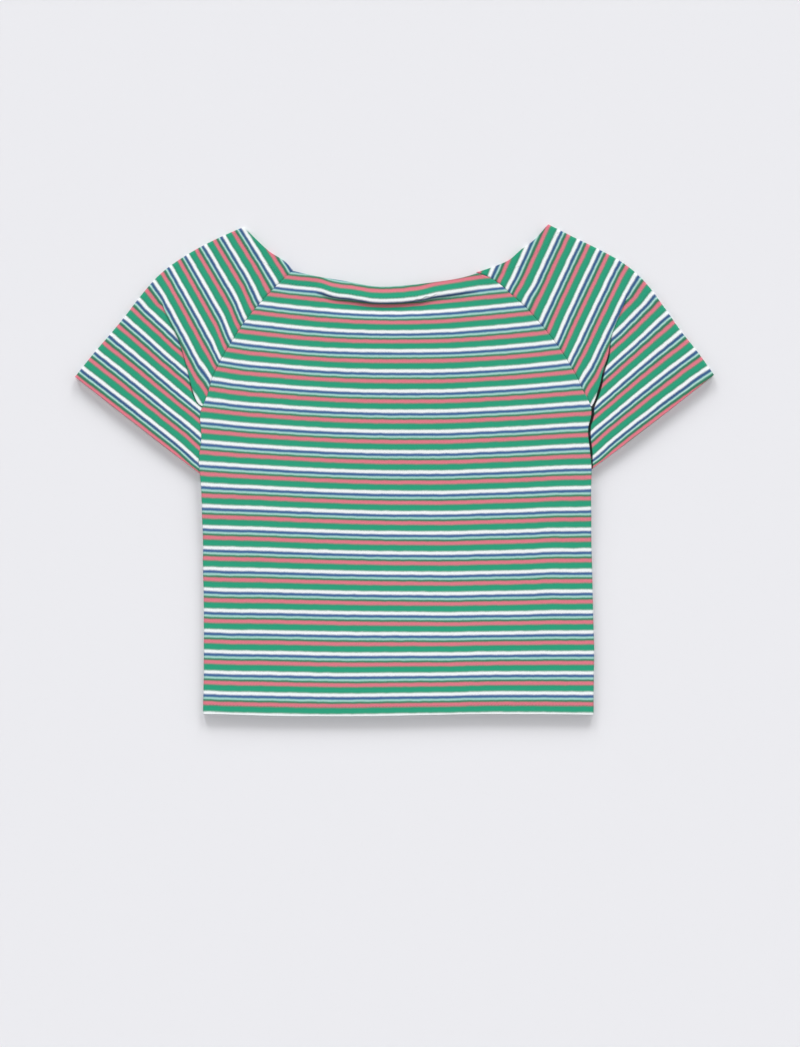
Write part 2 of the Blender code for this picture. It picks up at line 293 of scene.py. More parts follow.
def noise_node(tree: Tree, place: Socket, size: float, **inputs: float) -> Socket:
    """Add noise with features of a size and give its value."""
    return add_node(tree, "ShaderNodeTexNoise", {
        "Vector": place, "Scale": 1 / size, **inputs}).outputs["Fac"]


def range_node(tree: Tree, value: Socket, given: Point,
               wanted: Point, steps: str = "LINEAR") -> Socket:
    """Carry a value from the given range to the wanted one."""
    return add_node(tree, "ShaderNodeMapRange", {
        "Value": value, "From Min": given[0], "From Max": given[1],
        "To Min": wanted[0], "To Max": wanted[1]}, interpolation_type=steps).outputs[0]


def new_material(name: str) -> tuple[Material, Tree]:
    """Make a material with an empty tree."""
    material = bpy.data.materials.new(name)
    material.use_nodes = True
    material.node_tree.nodes.clear()
    return material, material.node_tree


def add_surface(tree: Tree, inputs: dict[str, Setting]) -> None:
    """Add the surface of a finish, which is never metal, and put it out."""
    shader = add_node(tree, "ShaderNodeBsdfPrincipled", {"Metallic": 0.0, **inputs})
    add_node(tree, "ShaderNodeOutputMaterial", {"Surface": shader.outputs[0]})


def add_object(name: str, data: bpy.types.ID) -> Object:
    """Make an object at the origin from its data."""
    thing = bpy.data.objects.new(name, data)
    bpy.context.collection.objects.link(thing)
    return thing


# ---- Finishes ----


class Yarn(Enum):
    """Yarn colours of the knit, with darker copies that paint shade on the sleeves."""

    WHITE = "#F7FBFC"
    GREEN = "#259F7B"
    DEEP_GREEN = "#258C6C"
    PINK = "#E6788A"
    FOREST = "#1E7F5B"
    SHADED_FOREST = "#127758"
    MINT = "#AADBD0"
    PALE_MINT = "#BCECDF"
    BLUE = "#285A94"
    SHADED_BLUE = "#164F86"


class Stripe(NamedTuple):
    """One stripe of the repeat, and its width in millimetres."""

    yarn: Yarn
    width: float


# The green is deeper where it turns in beside its neighbours
BODY_REPEAT = (
    Stripe(Yarn.WHITE, 1.62), Stripe(Yarn.DEEP_GREEN, 0.95), Stripe(Yarn.GREEN, 4.41),
    Stripe(Yarn.DEEP_GREEN, 0.9), Stripe(Yarn.PINK, 3.29), Stripe(Yarn.FOREST, 2.05),
    Stripe(Yarn.MINT, 1.83), Stripe(Yarn.BLUE, 2.77), Stripe(Yarn.WHITE, 1.39),
)
# The sleeves' repeat: its forest and blue are painted shade, darker copies of the body's yarns, and its
# mint is paler
SLEEVE_REPEAT = (
    Stripe(Yarn.WHITE, 1.62), Stripe(Yarn.DEEP_GREEN, 1.5), Stripe(Yarn.GREEN, 4.0),
    Stripe(Yarn.DEEP_GREEN, 0.95), Stripe(Yarn.PINK, 3.0), Stripe(Yarn.SHADED_FOREST, 2.65),
    Stripe(Yarn.PALE_MINT, 1.3), Stripe(Yarn.SHADED_BLUE, 2.85), Stripe(Yarn.WHITE, 1.34),
)


@dataclass(frozen=True)
class StripedJersey:
    """Cotton single jersey, knitted in stripes on a circular machine.

    It gives the eye a matt, faintly fuzzy face, fine wales and stripe edges
    that waver by a part of a stitch. It also paints shade into the mouths of
    tight tucks.
    """

    name: str = "striped_cotton_jersey"
    stripes: tuple[Stripe, ...] = BODY_REPEAT
    fuzz: float = 0.5
    fuzz_samples: int = 960
    edge_reach: float = 0.45
    edge_waver: float = 0.22
    waver_size: float = 9.0
    stitch_jag: float = 0.16
    # Real wales are about 0.7 mm apart, and are drawn coarser so that they show
    wale: float = 1.3
    course: float = 1.1
    fleck_size: float = 1.1
    fleck: float = 0.10
    relief: float = 0.10
    # How softly the shade painted in a tuck's mouth fades, in millimetres
    shade_edge: float = 0.5
    roughness: float = 0.9

    def repeat(self) -> float:
        """Length of one whole repeat in millimetres."""
        return sum(stripe.width for stripe in self.stripes)

    def make(self) -> Material:
        """Build the material, which reads the cloth map: millimetres across, and courses."""
        material, tree = new_material(self.name)
        cloth = add_node(tree, "ShaderNodeUVMap", uv_map=CLOTH_MAP).outputs["UV"]
        split = add_node(tree, "ShaderNodeSeparateXYZ", {0: cloth}).outputs
        run = math_node(tree, "MULTIPLY", split["Y"], self.repeat())
        place = add_node(tree, "ShaderNodeCombineXYZ", {"X": split["X"], "Y": run}).outputs[0]
        colour = self.striping(tree, place, split["Y"])
        fleck = noise_node(tree, place, self.fleck_size, Detail=2.0, Roughness=0.6)
        flecked = range_node(tree, fleck, (0.3, 0.7), (1 - self.fleck, 1 + self.fleck * 0.45))
        # Painted shade: the flecked colour is darkened in the mouths of tight tucks
        shaded = math_node(tree, "MULTIPLY", flecked, self.painted_tuck_shade(tree))
        shaded_colour = add_node(tree, "ShaderNodeVectorMath", {0: colour, "Scale": shaded}, operation="SCALE")
        add_surface(tree, {
            "Base Color": shaded_colour.outputs[0], "Roughness": self.roughness, "Specular IOR Level": 0.25,
            "Sheen Weight": 0.12, "Sheen Roughness": 0.6, "Normal": self.knit_relief(tree, place)})
        return material

    def striping(self, tree: Tree, place: Socket, courses: Socket) -> Socket:
        """Colour the repeat, with edges that waver and jag.

        Args:
            tree: the material's tree.
            place: the cloth map in millimetres.
            courses: the cloth map's count of repeats.

        Returns:
            The socket of the stripe colour.
        """
        total = courses
        for size, swing in ((self.waver_size, self.edge_waver), (self.wale, self.stitch_jag)):
            noise = noise_node(tree, place, size, Detail=1.0)
            most = swing / self.repeat()
            total = math_node(tree, "ADD", total, range_node(tree, noise, (0.25, 0.75), (-most, most)))
        ramp = add_node(tree, "ShaderNodeValToRGB", {0: math_node(tree, "FRACT", total)})
        elements = ramp.color_ramp.elements
        stops = self.ramp_places()
        for stop in stops[1:-1]:
            elements.new(float(stop))
        for element, colour in zip(elements, self.fuzzy_colours(stops)):
            element.color = (*colour, 1.0)
        return ramp.outputs["Color"]

    def ramp_places(self) -> Array:
        """Shares of the repeat beside each stripe's edge, and amid the wider stripes."""
        widths = np.array([stripe.width for stripe in self.stripes])
        ends = np.cumsum(widths)
        middles = (ends - widths / 2)[widths > 2.5 * self.edge_reach]
        inner = ends[:-1]
        beside = [inner - self.edge_reach, middles, inner + self.edge_reach]
        places = np.concatenate([[0.0], *beside, ends[-1:]])
        return np.unique(np.round(places / ends[-1], 4))

    def fuzzy_colours(self, stops: Array) -> Array:
        """Linear colours at shares of the repeat, where each yarn's fuzz reaches over the next."""
        repeat = self.repeat()
        fine = (np.arange(self.fuzz_samples) + 0.5) / self.fuzz_samples
        edges = np.cumsum([stripe.width for stripe in self.stripes]) / repeat
        yarns = np.array([srgb(stripe.yarn.value)[:3] for stripe in self.stripes])
        sharp = yarns[np.minimum(np.searchsorted(edges, fine), len(self.stripes) - 1)]
        away = np.abs(stops[:, None] - fine[None, :])
        away = np.minimum(away, 1 - away) * repeat / self.fuzz
        weight = np.exp(-away * away / 2)
        return (weight / weight.sum(axis=1, keepdims=True)) @ sharp

    def painted_tuck_shade(self, tree: Tree) -> Socket:
        """Paint shade into the cloth in the mouth of a tight tuck, where no light gets in, as a factor on
        its colour.
        """
        tuck = add_node(tree, "ShaderNodeUVMap", uv_map=PAINTED_SHADE_MAP).outputs["UV"]
        past, painted_strength, _ = add_node(tree, "ShaderNodeSeparateXYZ", {0: tuck}).outputs
        edge = self.shade_edge
        mouth = range_node(tree, past, (-edge, edge), (1.0, 0.0), "SMOOTHSTEP")
        return math_node(tree, "SUBTRACT", 1.0, math_node(tree, "MULTIPLY", mouth, painted_strength))

    def knit_relief(self, tree: Tree, place: Socket) -> Socket:
        """Raise the wales and courses of the knit, and give the bumped normal."""
        axes = add_node(tree, "ShaderNodeSeparateXYZ", {0: place}).outputs
        waves = []
        for axis, size in (("X", self.wale), ("Y", self.course)):
            turn = math_node(tree, "MULTIPLY", axes[axis], 2 * math.pi / size)
            waves.append(math_node(tree, "SINE", turn))
        knit = math_node(tree, "MULTIPLY_ADD", waves[0], 0.4, waves[1])
        fuzz = noise_node(tree, place, self.fleck_size, Detail=3.0)
        return add_node(tree, "ShaderNodeBump", {
            "Strength": 0.6, "Distance": self.relief * MM / 3,
            "Height": math_node(tree, "MULTIPLY_ADD", fuzz, 2.0, knit)}).outputs["Normal"]


@dataclass(frozen=True)
class SewingThread:
    """Spun polyester sewing thread, sewn as a single needle line.

    It gives the eye short matt ticks that sink a little into the cloth.
    """

    name: str = "spun_polyester_thread"
    colour: str = "#CFC8C2"
    ply_twist: float = 0.45
    roughness: float = 0.75

    def make(self) -> Material:
        """Build the material with a fine twist of the plies."""
        material, tree = new_material(self.name)
        place = add_node(tree, "ShaderNodeTexCoord").outputs["Object"]
        twist = noise_node(tree, place, self.ply_twist * MM, Detail=2.0)
        shade = range_node(tree, twist, (0.0, 1.0), (0.82, 1.08))
        colour = add_node(tree, "ShaderNodeVectorMath", {
            0: srgb(self.colour)[:3], "Scale": shade}, operation="SCALE")
        bump = add_node(tree, "ShaderNodeBump", {
            "Strength": 0.4, "Distance": 0.05 * MM, "Height": twist})
        add_surface(tree, {"Base Color": colour.outputs[0], "Roughness": self.roughness,
                           "Normal": bump.outputs["Normal"]})
        return material


@dataclass(frozen=True)
class StudioPaper:
    """Matt backdrop paper, which gives the eye an even pale ground."""

    name: str = "matt_backdrop_paper"
    colour: str = "#EAEAEE"
    grain: float = 0.4

    def make(self) -> Material:
        """Build the material with a faint grain."""
        material, tree = new_material(self.name)
        place = add_node(tree, "ShaderNodeTexCoord").outputs["Object"]
        grain = noise_node(tree, place, self.grain * MM, Detail=1.0)
        bump = add_node(tree, "ShaderNodeBump", {
            "Strength": 0.05, "Distance": 0.01 * MM, "Height": grain})
        add_surface(tree, {"Base Color": srgb(self.colour), "Roughness": 0.95,
                           "Specular IOR Level": 0.1, "Normal": bump.outputs["Normal"]})
        return material


# ---- Courses: where the stripes run ----


class CourseLift(NamedTuple):
    """How far one repeat of the body is carried up, at five places across."""

    repeat: float
    far_right: float
    right: float
    middle: float
    left: float
    far_left: float


LIFT_PLACES = (-181.9, -92.6, -0.5, 87.9, 181.0)
COURSE_LIFTS = table_of(
    CourseLift,
    (0, 1.35, -1.15, -0.7, 0.6, 0.0),
    (1, 1.95, -0.45, -0.6, 0.95, 0.8),
    (5, 3.2, 1.2, -0.25, -0.05, 1.35),
    (10, 5.65, 1.95, -0.75, 0.4, 3.3),
    (15, 11.2, 2.65, -0.55, 1.55, 7.7),
    (17, 13.2, 2.55, -0.9, 1.6, 10.25),
    (18, 14.2, 2.15, -0.8, 1.9, 11.75),
    (19, 14.7, 2.1, -2.1, 2.1, 13.45),
    (20, 14.5, 1.9, -3.3, 2.5, 14.1),
    (21, 14.5, 1.35, -3.4, 2.5, 14.1),
    (21.5, 14.5, 0.7, -3.4, 3.0, 14.1),
    (22, 14.5, -0.1, -3.4, 3.1, 14.1),
)


class CoursePull(NamedTuple):
    """A soft spot where the laid cloth is pulled a little up or down.

    x and repeat place its middle, across and high are its widths in
    millimetres and in repeats, and lift is how far it is carried up.
    """

    x: float
    repeat: float
    across: float
    high: float
    lift: float


COURSE_PULLS = table_of(
    CoursePull,
    (-148, 17.2, 24, 3.6, -1.20),
    (-161, 3.5, 26, 7.4, -0.54),
    (-142, 8.7, 37, 2.9, 0.40),
    (-51, 1.6, 33, 2.6, -0.37),
    (50, 8.4, 23, 12.0, -0.41),
    (138, 20.3, 27, 4.5, -0.54),
    (145, 7.4, 16, 3.6, 0.61),
    (183, 11.9, 16, 2.5, -0.51),
)


@dataclass(frozen=True)
class BodyCourses:
    """The repeats of the body panels, counted from the hem."""

    first: float = -1.14
    repeat: float = 19.21
    corrections: int = 12

    def lift(self, x: Array, count: Array) -> Array:
        """Millimetres that the cloth is carried up, at places across and counts of repeats."""
        rows = [through(LIFT_PLACES, row[1:], x) for row in COURSE_LIFTS]
        knots = [row.repeat for row in COURSE_LIFTS]
        total = np.array(rows[0], float)
        for below, above, low, high in zip(knots, knots[1:], rows, rows[1:]):
            total = total + (high - low) * np.clip((count - below) / (above - below), 0, 1)
        for pull in COURSE_PULLS:
            away = ((x - pull.x) / pull.across) ** 2 + ((count - pull.repeat) / pull.high) ** 2
            total = total + pull.lift * np.exp(-away)
        return total

    def height(self, x: Array, count: Array) -> Array:
        """Plan height of a count of repeats."""
        return self.first + self.repeat * count + self.lift(x, count)

    def count(self, x: Array, y: Array) -> Array:
        """Repeats from the hem at plan places, by repeated correction."""
        found = (y - self.first) / self.repeat
        for _ in range(self.corrections):
            found = (y - self.first - self.lift(x, found)) / self.repeat
        return found


class FieldPull(NamedTuple):
    """A spot where handling pulled the stripes of a sleeve, by so many millimetres."""

    x: float
    y: float
    pull: float
    radius: float


@dataclass(frozen=True)
class CourseField:
    """The repeats of a flat part of a sleeve, as a slightly bent field.

    heading is the plan direction of higher counts, in degrees. The bends are
    second derivatives along the stripe, mixed, and across it.
    """

    origin: Point
    start: float
    heading: float
    repeat: float
    bends: tuple[float, float, float]
    pulls: tuple[FieldPull, ...] = ()

    def axes(self) -> tuple[Array, Array]:
        """Unit directions across the stripes and along them."""
        angle = math.radians(self.heading)
        across = np.array([math.cos(angle), math.sin(angle)])
        return across, np.array([-across[1], across[0]])

    def count(self, points: Array) -> Array:
        """Repeats at plan points."""
        across, along = self.axes()
        away = points - np.array(self.origin)
        n, t = away @ across, away @ along
        tt, tn, nn = self.bends
        total = self.start + n / self.repeat + (tt * t * t + 2 * tn * t * n + nn * n * n) / 2
        for spot in self.pulls:
            near = np.linalg.norm(points - np.array([spot.x, spot.y]), axis=-1) / spot.radius
            total = total + spot.pull / self.repeat * np.exp(-near * near)
        return total

    def span(self, points: Array) -> Array:
        """Millimetres along the stripes at plan points."""
        return (points - np.array(self.origin)) @ self.axes()[1]


# ---- Plan of the sleeves and the plies of their pleats ----


class TuckShadePoint(NamedTuple):
    """A place on the mouth of a tuck, with its open width and the strength of the shade painted there."""

    x: float
    y: float
    width: float
    painted_shade_strength: float


# Painted shade along the mouths of the sleeves' tucks and a painted shadow under the neck's roll, darker
# than the drawn crevices make them
RIGHT_TUCK_SHADE = table_of(
    TuckShadePoint,
    (-221.2, 382.9, 0.1, 0.0), (-217.4, 375.3, 0.3, 0.30), (-214.2, 368.0, 0.4, 0.45),
    (-210.8, 360.4, 0.4, 0.45), (-207.0, 352.5, 0.4, 0.40), (-203.2, 339.9, 0.4, 0.40),
    (-198.4, 321.8, 0.5, 0.45), (-196.8, 314.6, 0.6, 0.50), (-195.2, 308.2, 0.9, 0.60),
    (-192.5, 300.1, 1.0, 0.65), (-189.6, 294.2, 0.6, 0.55),
)
LEFT_TUCK_SHADE = table_of(
    TuckShadePoint,
    (207.5, 371.6, 0.1, 0.0), (202.8, 356.7, 0.5, 0.45), (200.0, 339.2, 1.3, 0.85),
    (194.2, 321.8, 2.0, 0.93), (192.2, 312.3, 2.3, 0.95), (190.0, 305.5, 2.6, 0.96),
    (188.4, 300.1, 2.4, 0.96), (186.3, 294.6, 2.2, 0.97), (184.1, 289.2, 2.7, 0.97),
    (184.1, 284.5, 2.8, 0.97), (183.1, 278.4, 2.5, 0.97), (181.3, 272.9, 2.5, 0.97),
    (180.8, 266.0, 2.7, 0.97), (181.1, 259.4, 2.7, 0.97), (182.1, 253.3, 2.4, 0.97),
    (183.1, 246.5, 2.1, 0.95), (183.6, 239.7, 1.8, 0.93), (184.1, 232.5, 1.5, 0.88),
)
NECK_ROLL_SHADOW = table_of(
    TuckShadePoint,
    (9.0, 388.6, 0.1, 0.0), (13.5, 390.0, 0.3, 0.5), (17.6, 392.2, 0.4, 0.6), (22.3, 392.5, 0.4, 0.6),
    (27.1, 394.9, 0.4, 0.6), (31.8, 394.9, 0.3, 0.55), (36.6, 397.3, 0.3, 0.5), (44.0, 398.3, 0.1, 0.0),
)


# Past this far beyond its last point, a tuck's mouth is closed
TUCK_END = 1.5


def no_painted_shade(shape: tuple[int, ...]) -> Array:
    """The map of cloth that lies in no tuck, on which no shade is painted."""
    return np.stack([np.full(shape, NO_PAINTED_SHADE), np.zeros(shape)], axis=-1)


def tuck_map(tuck: tuple[TuckShadePoint, ...], side: int, points: Array) -> Array:
    """Measure how far cloth lies past the open mouth of a tuck, where shade is painted.

    Args:
        tuck: the mouth, from the top down or from right to left.
        side: 1 where the open side is the wearer's left, -1 where it is the
            right, and 0 where the mouth shows as a line.
        points: plan points of the lower cloth.

    Returns:
        For each point, millimetres past the mouth of painted shade and the strength of that shade.
    """
    line = SmoothLine([point[:2] for point in tuck])
    shares = np.linspace(0, 1, line.samples // 2)
    at, way = line.at(shares), line.along(shares)
    knots = line.knots / line.knots[-1]
    width = np.interp(shares, knots, [point.width for point in tuck])
    painted_shade_strength = np.interp(shares, knots, [point.painted_shade_strength for point in tuck])
    flat = points.reshape(-1, 2)
    nearest = np.argmin(np.linalg.norm(flat[:, None] - at[None], axis=2), axis=1)
    away = flat - at[nearest]
    past = np.sum(away * left_of(way[nearest]), axis=1)
    past = past * side if side else np.abs(past)
    beyond = np.abs(np.sum(away * way[nearest], axis=1))
    past = np.where(beyond > TUCK_END, past + beyond, past) - width[nearest]
    return np.stack([past, painted_shade_strength[nearest]], axis=1).reshape(points.shape)


@dataclass(frozen=True)
class SleeveCut:
    """Plan of one sleeve. Its lines are traced in order from the neck.

    A bow swells to the left of travel on the wearer's left sleeve, and is
    mirrored on the other one.
    """

    node: str
    mirror: int
    contour: Points
    crease: Points
    raglan: Points
    neck: Points
    cuff_foot: Point
    solid_apex: Point
    cuff_bow: float
    tuck: tuple[TuckShadePoint, ...]
    pleat_angle: float
    shoulder_field: CourseField
    lower_field: CourseField
    # The contour's point from which the pleat runs down
    apex: int = 4

    @property
    def armpit(self) -> Point:
        """The lower end of the raglan seam."""
        return self.raglan[-1]

    @cached_property
    def seam_line(self) -> SmoothLine:
        """The raglan seam from neck to armpit."""
        return SmoothLine(self.raglan)

    def seam(self, share: Array, offset: float) -> Array:
        """Points of the raglan seam by share, moved by offset to the sleeve."""
        shift = left_of(self.seam_line.along(share)) * (self.mirror * offset)
        return self.seam_line.at(share) + shift


RIGHT_CUT = SleeveCut(
    node="right_sleeve", mirror=-1,
    contour=((-146.6, 461.2), (-171.1, 450.5), (-202.3, 433.5), (-219.3, 421.7), (-231.2, 410.9),
             (-242.9, 397.5), (-257.8, 377.7), (-273.0, 359.3), (-288.0, 342.0), (-306.2, 319.3)),
    crease=((-221.2, 382.9), (-214.2, 368.0), (-207.0, 352.5), (-203.0, 339.6), (-198.2, 321.8),
            (-196.6, 314.6), (-195.0, 308.2), (-192.3, 300.1), (-189.4, 294.2)),
    tuck=RIGHT_TUCK_SHADE,
    raglan=((-99.5, 420), (-115.6, 405.2), (-129.0, 391.0), (-143.8, 373.4), (-156.4, 354.6),
            (-167.6, 335.4), (-175.7, 318.5), (-180.8, 301.0), (-185.8, 289.5)),
    neck=((-146.6, 461.2), (-138.5, 453.0), (-122.2, 437.9), (-107.4, 428.0), (-99.5, 420)),
    cuff_foot=(-188.8, 228.0), solid_apex=(-227, 418.5), cuff_bow=0.3,
    pleat_angle=math.radians(21.5),
    shoulder_field=CourseField((-180, 385), 17.581, 29.4, 19.84, (0.8e-5, 2.9e-5, -1.0e-5)),
    lower_field=CourseField((-245, 315), 12.138, 50.65, 19.88, (0.8e-5, -4.9e-5, 2.4e-5), (
        FieldPull(-189, 238, 1.6, 16), FieldPull(-191, 280, -0.85, 18),
        FieldPull(-212, 348, 0.7, 18), FieldPull(-276, 345, 0.4, 14))),
)
LEFT_CUT = SleeveCut(
    node="left_sleeve", mirror=1,
    contour=((143.8, 463.6), (168.4, 451.2), (192.9, 439.2), (211.9, 428.6), (227.8, 416.4),
             (239.1, 404.4), (254.7, 383.2), (267.5, 364.7), (284.9, 342.9), (300.6, 321.1)),
    crease=((213.8, 385.1), (202.9, 357.0), (199.6, 339.0), (194.2, 321.8), (192.2, 312.3),
            (190.0, 305.5), (188.4, 300.1), (186.3, 294.6)),
    tuck=LEFT_TUCK_SHADE,
    raglan=((75.5, 417.6), (82.6, 415.6), (96.2, 408.0), (107.7, 397.9), (122.0, 385.1),
            (137.0, 368.2), (151.4, 350.0), (163.4, 331.4), (170.9, 318.0), (176.6, 305.2),
            (180.4, 298.7), (184.2, 289.0)),
    neck=((143.8, 463.6), (131.3, 449.8), (119.0, 440.5), (106.2, 429.6), (95.6, 424.8), (75.5, 417.6)),
    cuff_foot=(185.2, 232.3), solid_apex=(233, 413.5), cuff_bow=0.8,
    pleat_angle=math.radians(24.5),
    shoulder_field=CourseField((170, 390), 17.851, 154.9, 20.32, (1.2e-5, 1.5e-5, -1.85e-5)),
    lower_field=CourseField((240, 315), 12.091, 128.93, 19.74, (2.9e-5, 9.4e-5, 1.8e-5), (
        FieldPull(190, 244, 1.8, 15), FieldPull(212, 262, 0.5, 14),
        FieldPull(184, 278, -0.5, 13), FieldPull(236, 284, 0.45, 12),
        FieldPull(282, 320, -0.45, 14), FieldPull(266, 348, 0.55, 14),
        FieldPull(220, 360, 0.65, 18))),
)


# Turns and drops below this are none
FLAT = 1e-6


@dataclass(frozen=True)
class Pleat:
    """The wedge of cloth folded away where a sleeve swings down.

    Distances are millimetres from its apex.
    """

    angle: float
    start: float = 20.0
    soft_bend: float = 4.0
    least_ply: float = 0.3
    steps: int = 10

    def depth(self, distance: float) -> tuple[float, float, float]:
        """The pleat's turn in radians, the cloth in each bend and the hidden ply, by distance."""
        excess = self.angle * max(distance - self.start, 0.0)
        share = min(excess / (2 * HALF_TURN), 1.0)
        root = math.sqrt(6)
        turn = math.sqrt(share) * (root + (math.pi - root) * share)
        bend = HALF_TURN + self.soft_bend * (1 - turn / math.pi) ** 2
        return turn, bend, max(excess / 2 - HALF_TURN, self.least_ply)

    def reach(self, distance: float) -> float:
        """How far the outer skin of the first bend stands past its start."""
        turn, bend, _ = self.depth(distance)
        return bend_reach(turn, bend / turn) if turn > FLAT else bend

    def stations(self, distance: float) -> tuple[Array, Array, Array]:
        """Follow the cloth through both bends at a distance.

        Returns:
            How far across, the share of the drop, and the cloth passed, for
            each station.
        """
        turn, bend, ply = self.depth(distance)
        shares = np.linspace(0, 1, self.steps + 1)
        if turn < FLAT:
            across, drop = bend * shares, 0 * shares
        else:
            across = bend / turn * np.sin(turn * shares)
            drop = bend / turn * (1 - np.cos(turn * shares))
        foot = (across[-1] + ply * math.cos(turn), drop[-1] + ply * math.sin(turn))
        back = foot[0] + across[-1] - across[::-1]
        fall = foot[1] + drop[-1] - drop[::-1]
        across = np.concatenate([across[1:], back])
        drop = np.concatenate([drop[1:], fall])
        passed = np.concatenate([bend * shares[1:], bend + ply + bend * shares])
        if drop[-1] < FLAT:
            return across, passed / passed[-1], passed
        return across, drop / drop[-1], passed


@dataclass(frozen=True)
class PlyStack:
    """How much the hidden plies lift the cloth that lies on them."""

    cut: SleeveCut
    cuff_tuck: float = 14.0
    margin_in: float = 6.0
    margin_out: float = 6.0
    fade_in: float = 62.0
    fade_out: float = 30.0
    fade_down: float = 70.0
    full_after: float = 34.0
    samples: int = 200

    def lift(self, points: Array) -> Array:
        """The share of the full lift at plan points, from 0 to 1."""
        cut = self.cut
        apex, armpit = np.array(cut.solid_apex), np.array(cut.armpit)
        foot = np.array(cut.cuff_foot) - (0, self.cuff_tuck)
        end = foot - (0, self.fade_down)
        pleat = Pleat(cut.pleat_angle)
        whole = apart(apex, armpit)
        deepest = pleat.depth(whole)[2]
        stations = np.linspace(0, whole, self.samples)
        plies = np.array([pleat.depth(station)[2] for station in stations])
        best = np.full(points.shape[:-1], np.inf)
        lift = np.zeros(points.shape[:-1])
        for start, stop in ((apex, armpit), (armpit, foot), (foot, end)):
            run = stop - start
            share = np.clip((points - start) @ run / (run @ run), 0, 1)
            away = points - mix(start, stop, share)
            distance = np.linalg.norm(away, axis=-1)
            depth = deepest + (self.cuff_tuck - deepest) * share
            rise = np.ones_like(share)
            if start is apex:
                rise = ease(share * whole / self.full_after)
                depth = np.interp(share * whole, stations, plies)
            if stop is end:
                rise, depth = ease(1 - share), self.cuff_tuck
            inside = (run[0] * away[..., 1] - run[1] * away[..., 0]) * cut.mirror < 0
            inward = ease(1 - np.maximum(distance - depth - self.margin_in, 0) / self.fade_in)
            outward = ease(1 - np.maximum(distance - self.margin_out, 0) / self.fade_out)
            here = rise * np.where(inside, inward, outward)
            lift = np.where(distance < best, here, lift)
            best = np.minimum(best, distance)
        return lift


class SoftCrease(NamedTuple):
    """A soft ridge or trough in laid cloth, highest in the middle."""

    start: Point
    end: Point
    width: float
    height: float


FRONT_CREASES = table_of(
    SoftCrease,
    ((-150, 330), (-92, 268), 15, 0.35),
    ((-128, 300), (-60, 255), 12, -0.28),
    ((150, 322), (104, 262), 14, 0.32),
    ((118, 300), (62, 262), 11, -0.24),
    ((-30, 180), (92, 168), 20, 0.30),
    ((-150, 150), (-70, 172), 17, 0.26),
    ((-20, 78), (-118, 60), 16, 0.24),
    ((70, 70), (150, 96), 18, 0.28),
    ((10, 300), (50, 352), 14, 0.22),
    ((-64, 352), (-20, 300), 13, 0.22),
)
BACK_CREASES = table_of(
    SoftCrease,
    ((-140, 320), (-70, 262), 15, 0.45),
    ((146, 318), (84, 270), 14, 0.40),
    ((-110, 120), (-10, 146), 17, 0.40),
    ((40, 90), (132, 64), 16, 0.36),
    ((-20, 250), (70, 226), 19, 0.38),
)


# How far a crease runs on past its ends, where 1 is not at all
CREASE_REACH = 1.25


def crease_height(creases: tuple[SoftCrease, ...], points: Array) -> Array:
    """Millimetres that the creases raise the cloth at plan points."""
    total = np.zeros(points.shape[:-1])
    for crease in creases:
        start, end = np.array(crease.start, float), np.array(crease.end, float)
        run = end - start
        share = (points - start) @ run / (run @ run)
        away = (points - start) @ unit(left_of(run)) / crease.width
        ends = ease(1 - np.abs(2 * share - 1) / CREASE_REACH)
        total += crease.height * ends * np.exp(-away * away)
    return total


# ---- Cloth shells ----


# Where the rings of the rounded border lie, from the outer skin to the inner one
RIM_ANGLES = (math.pi / 4, 0.0, -math.pi / 4)


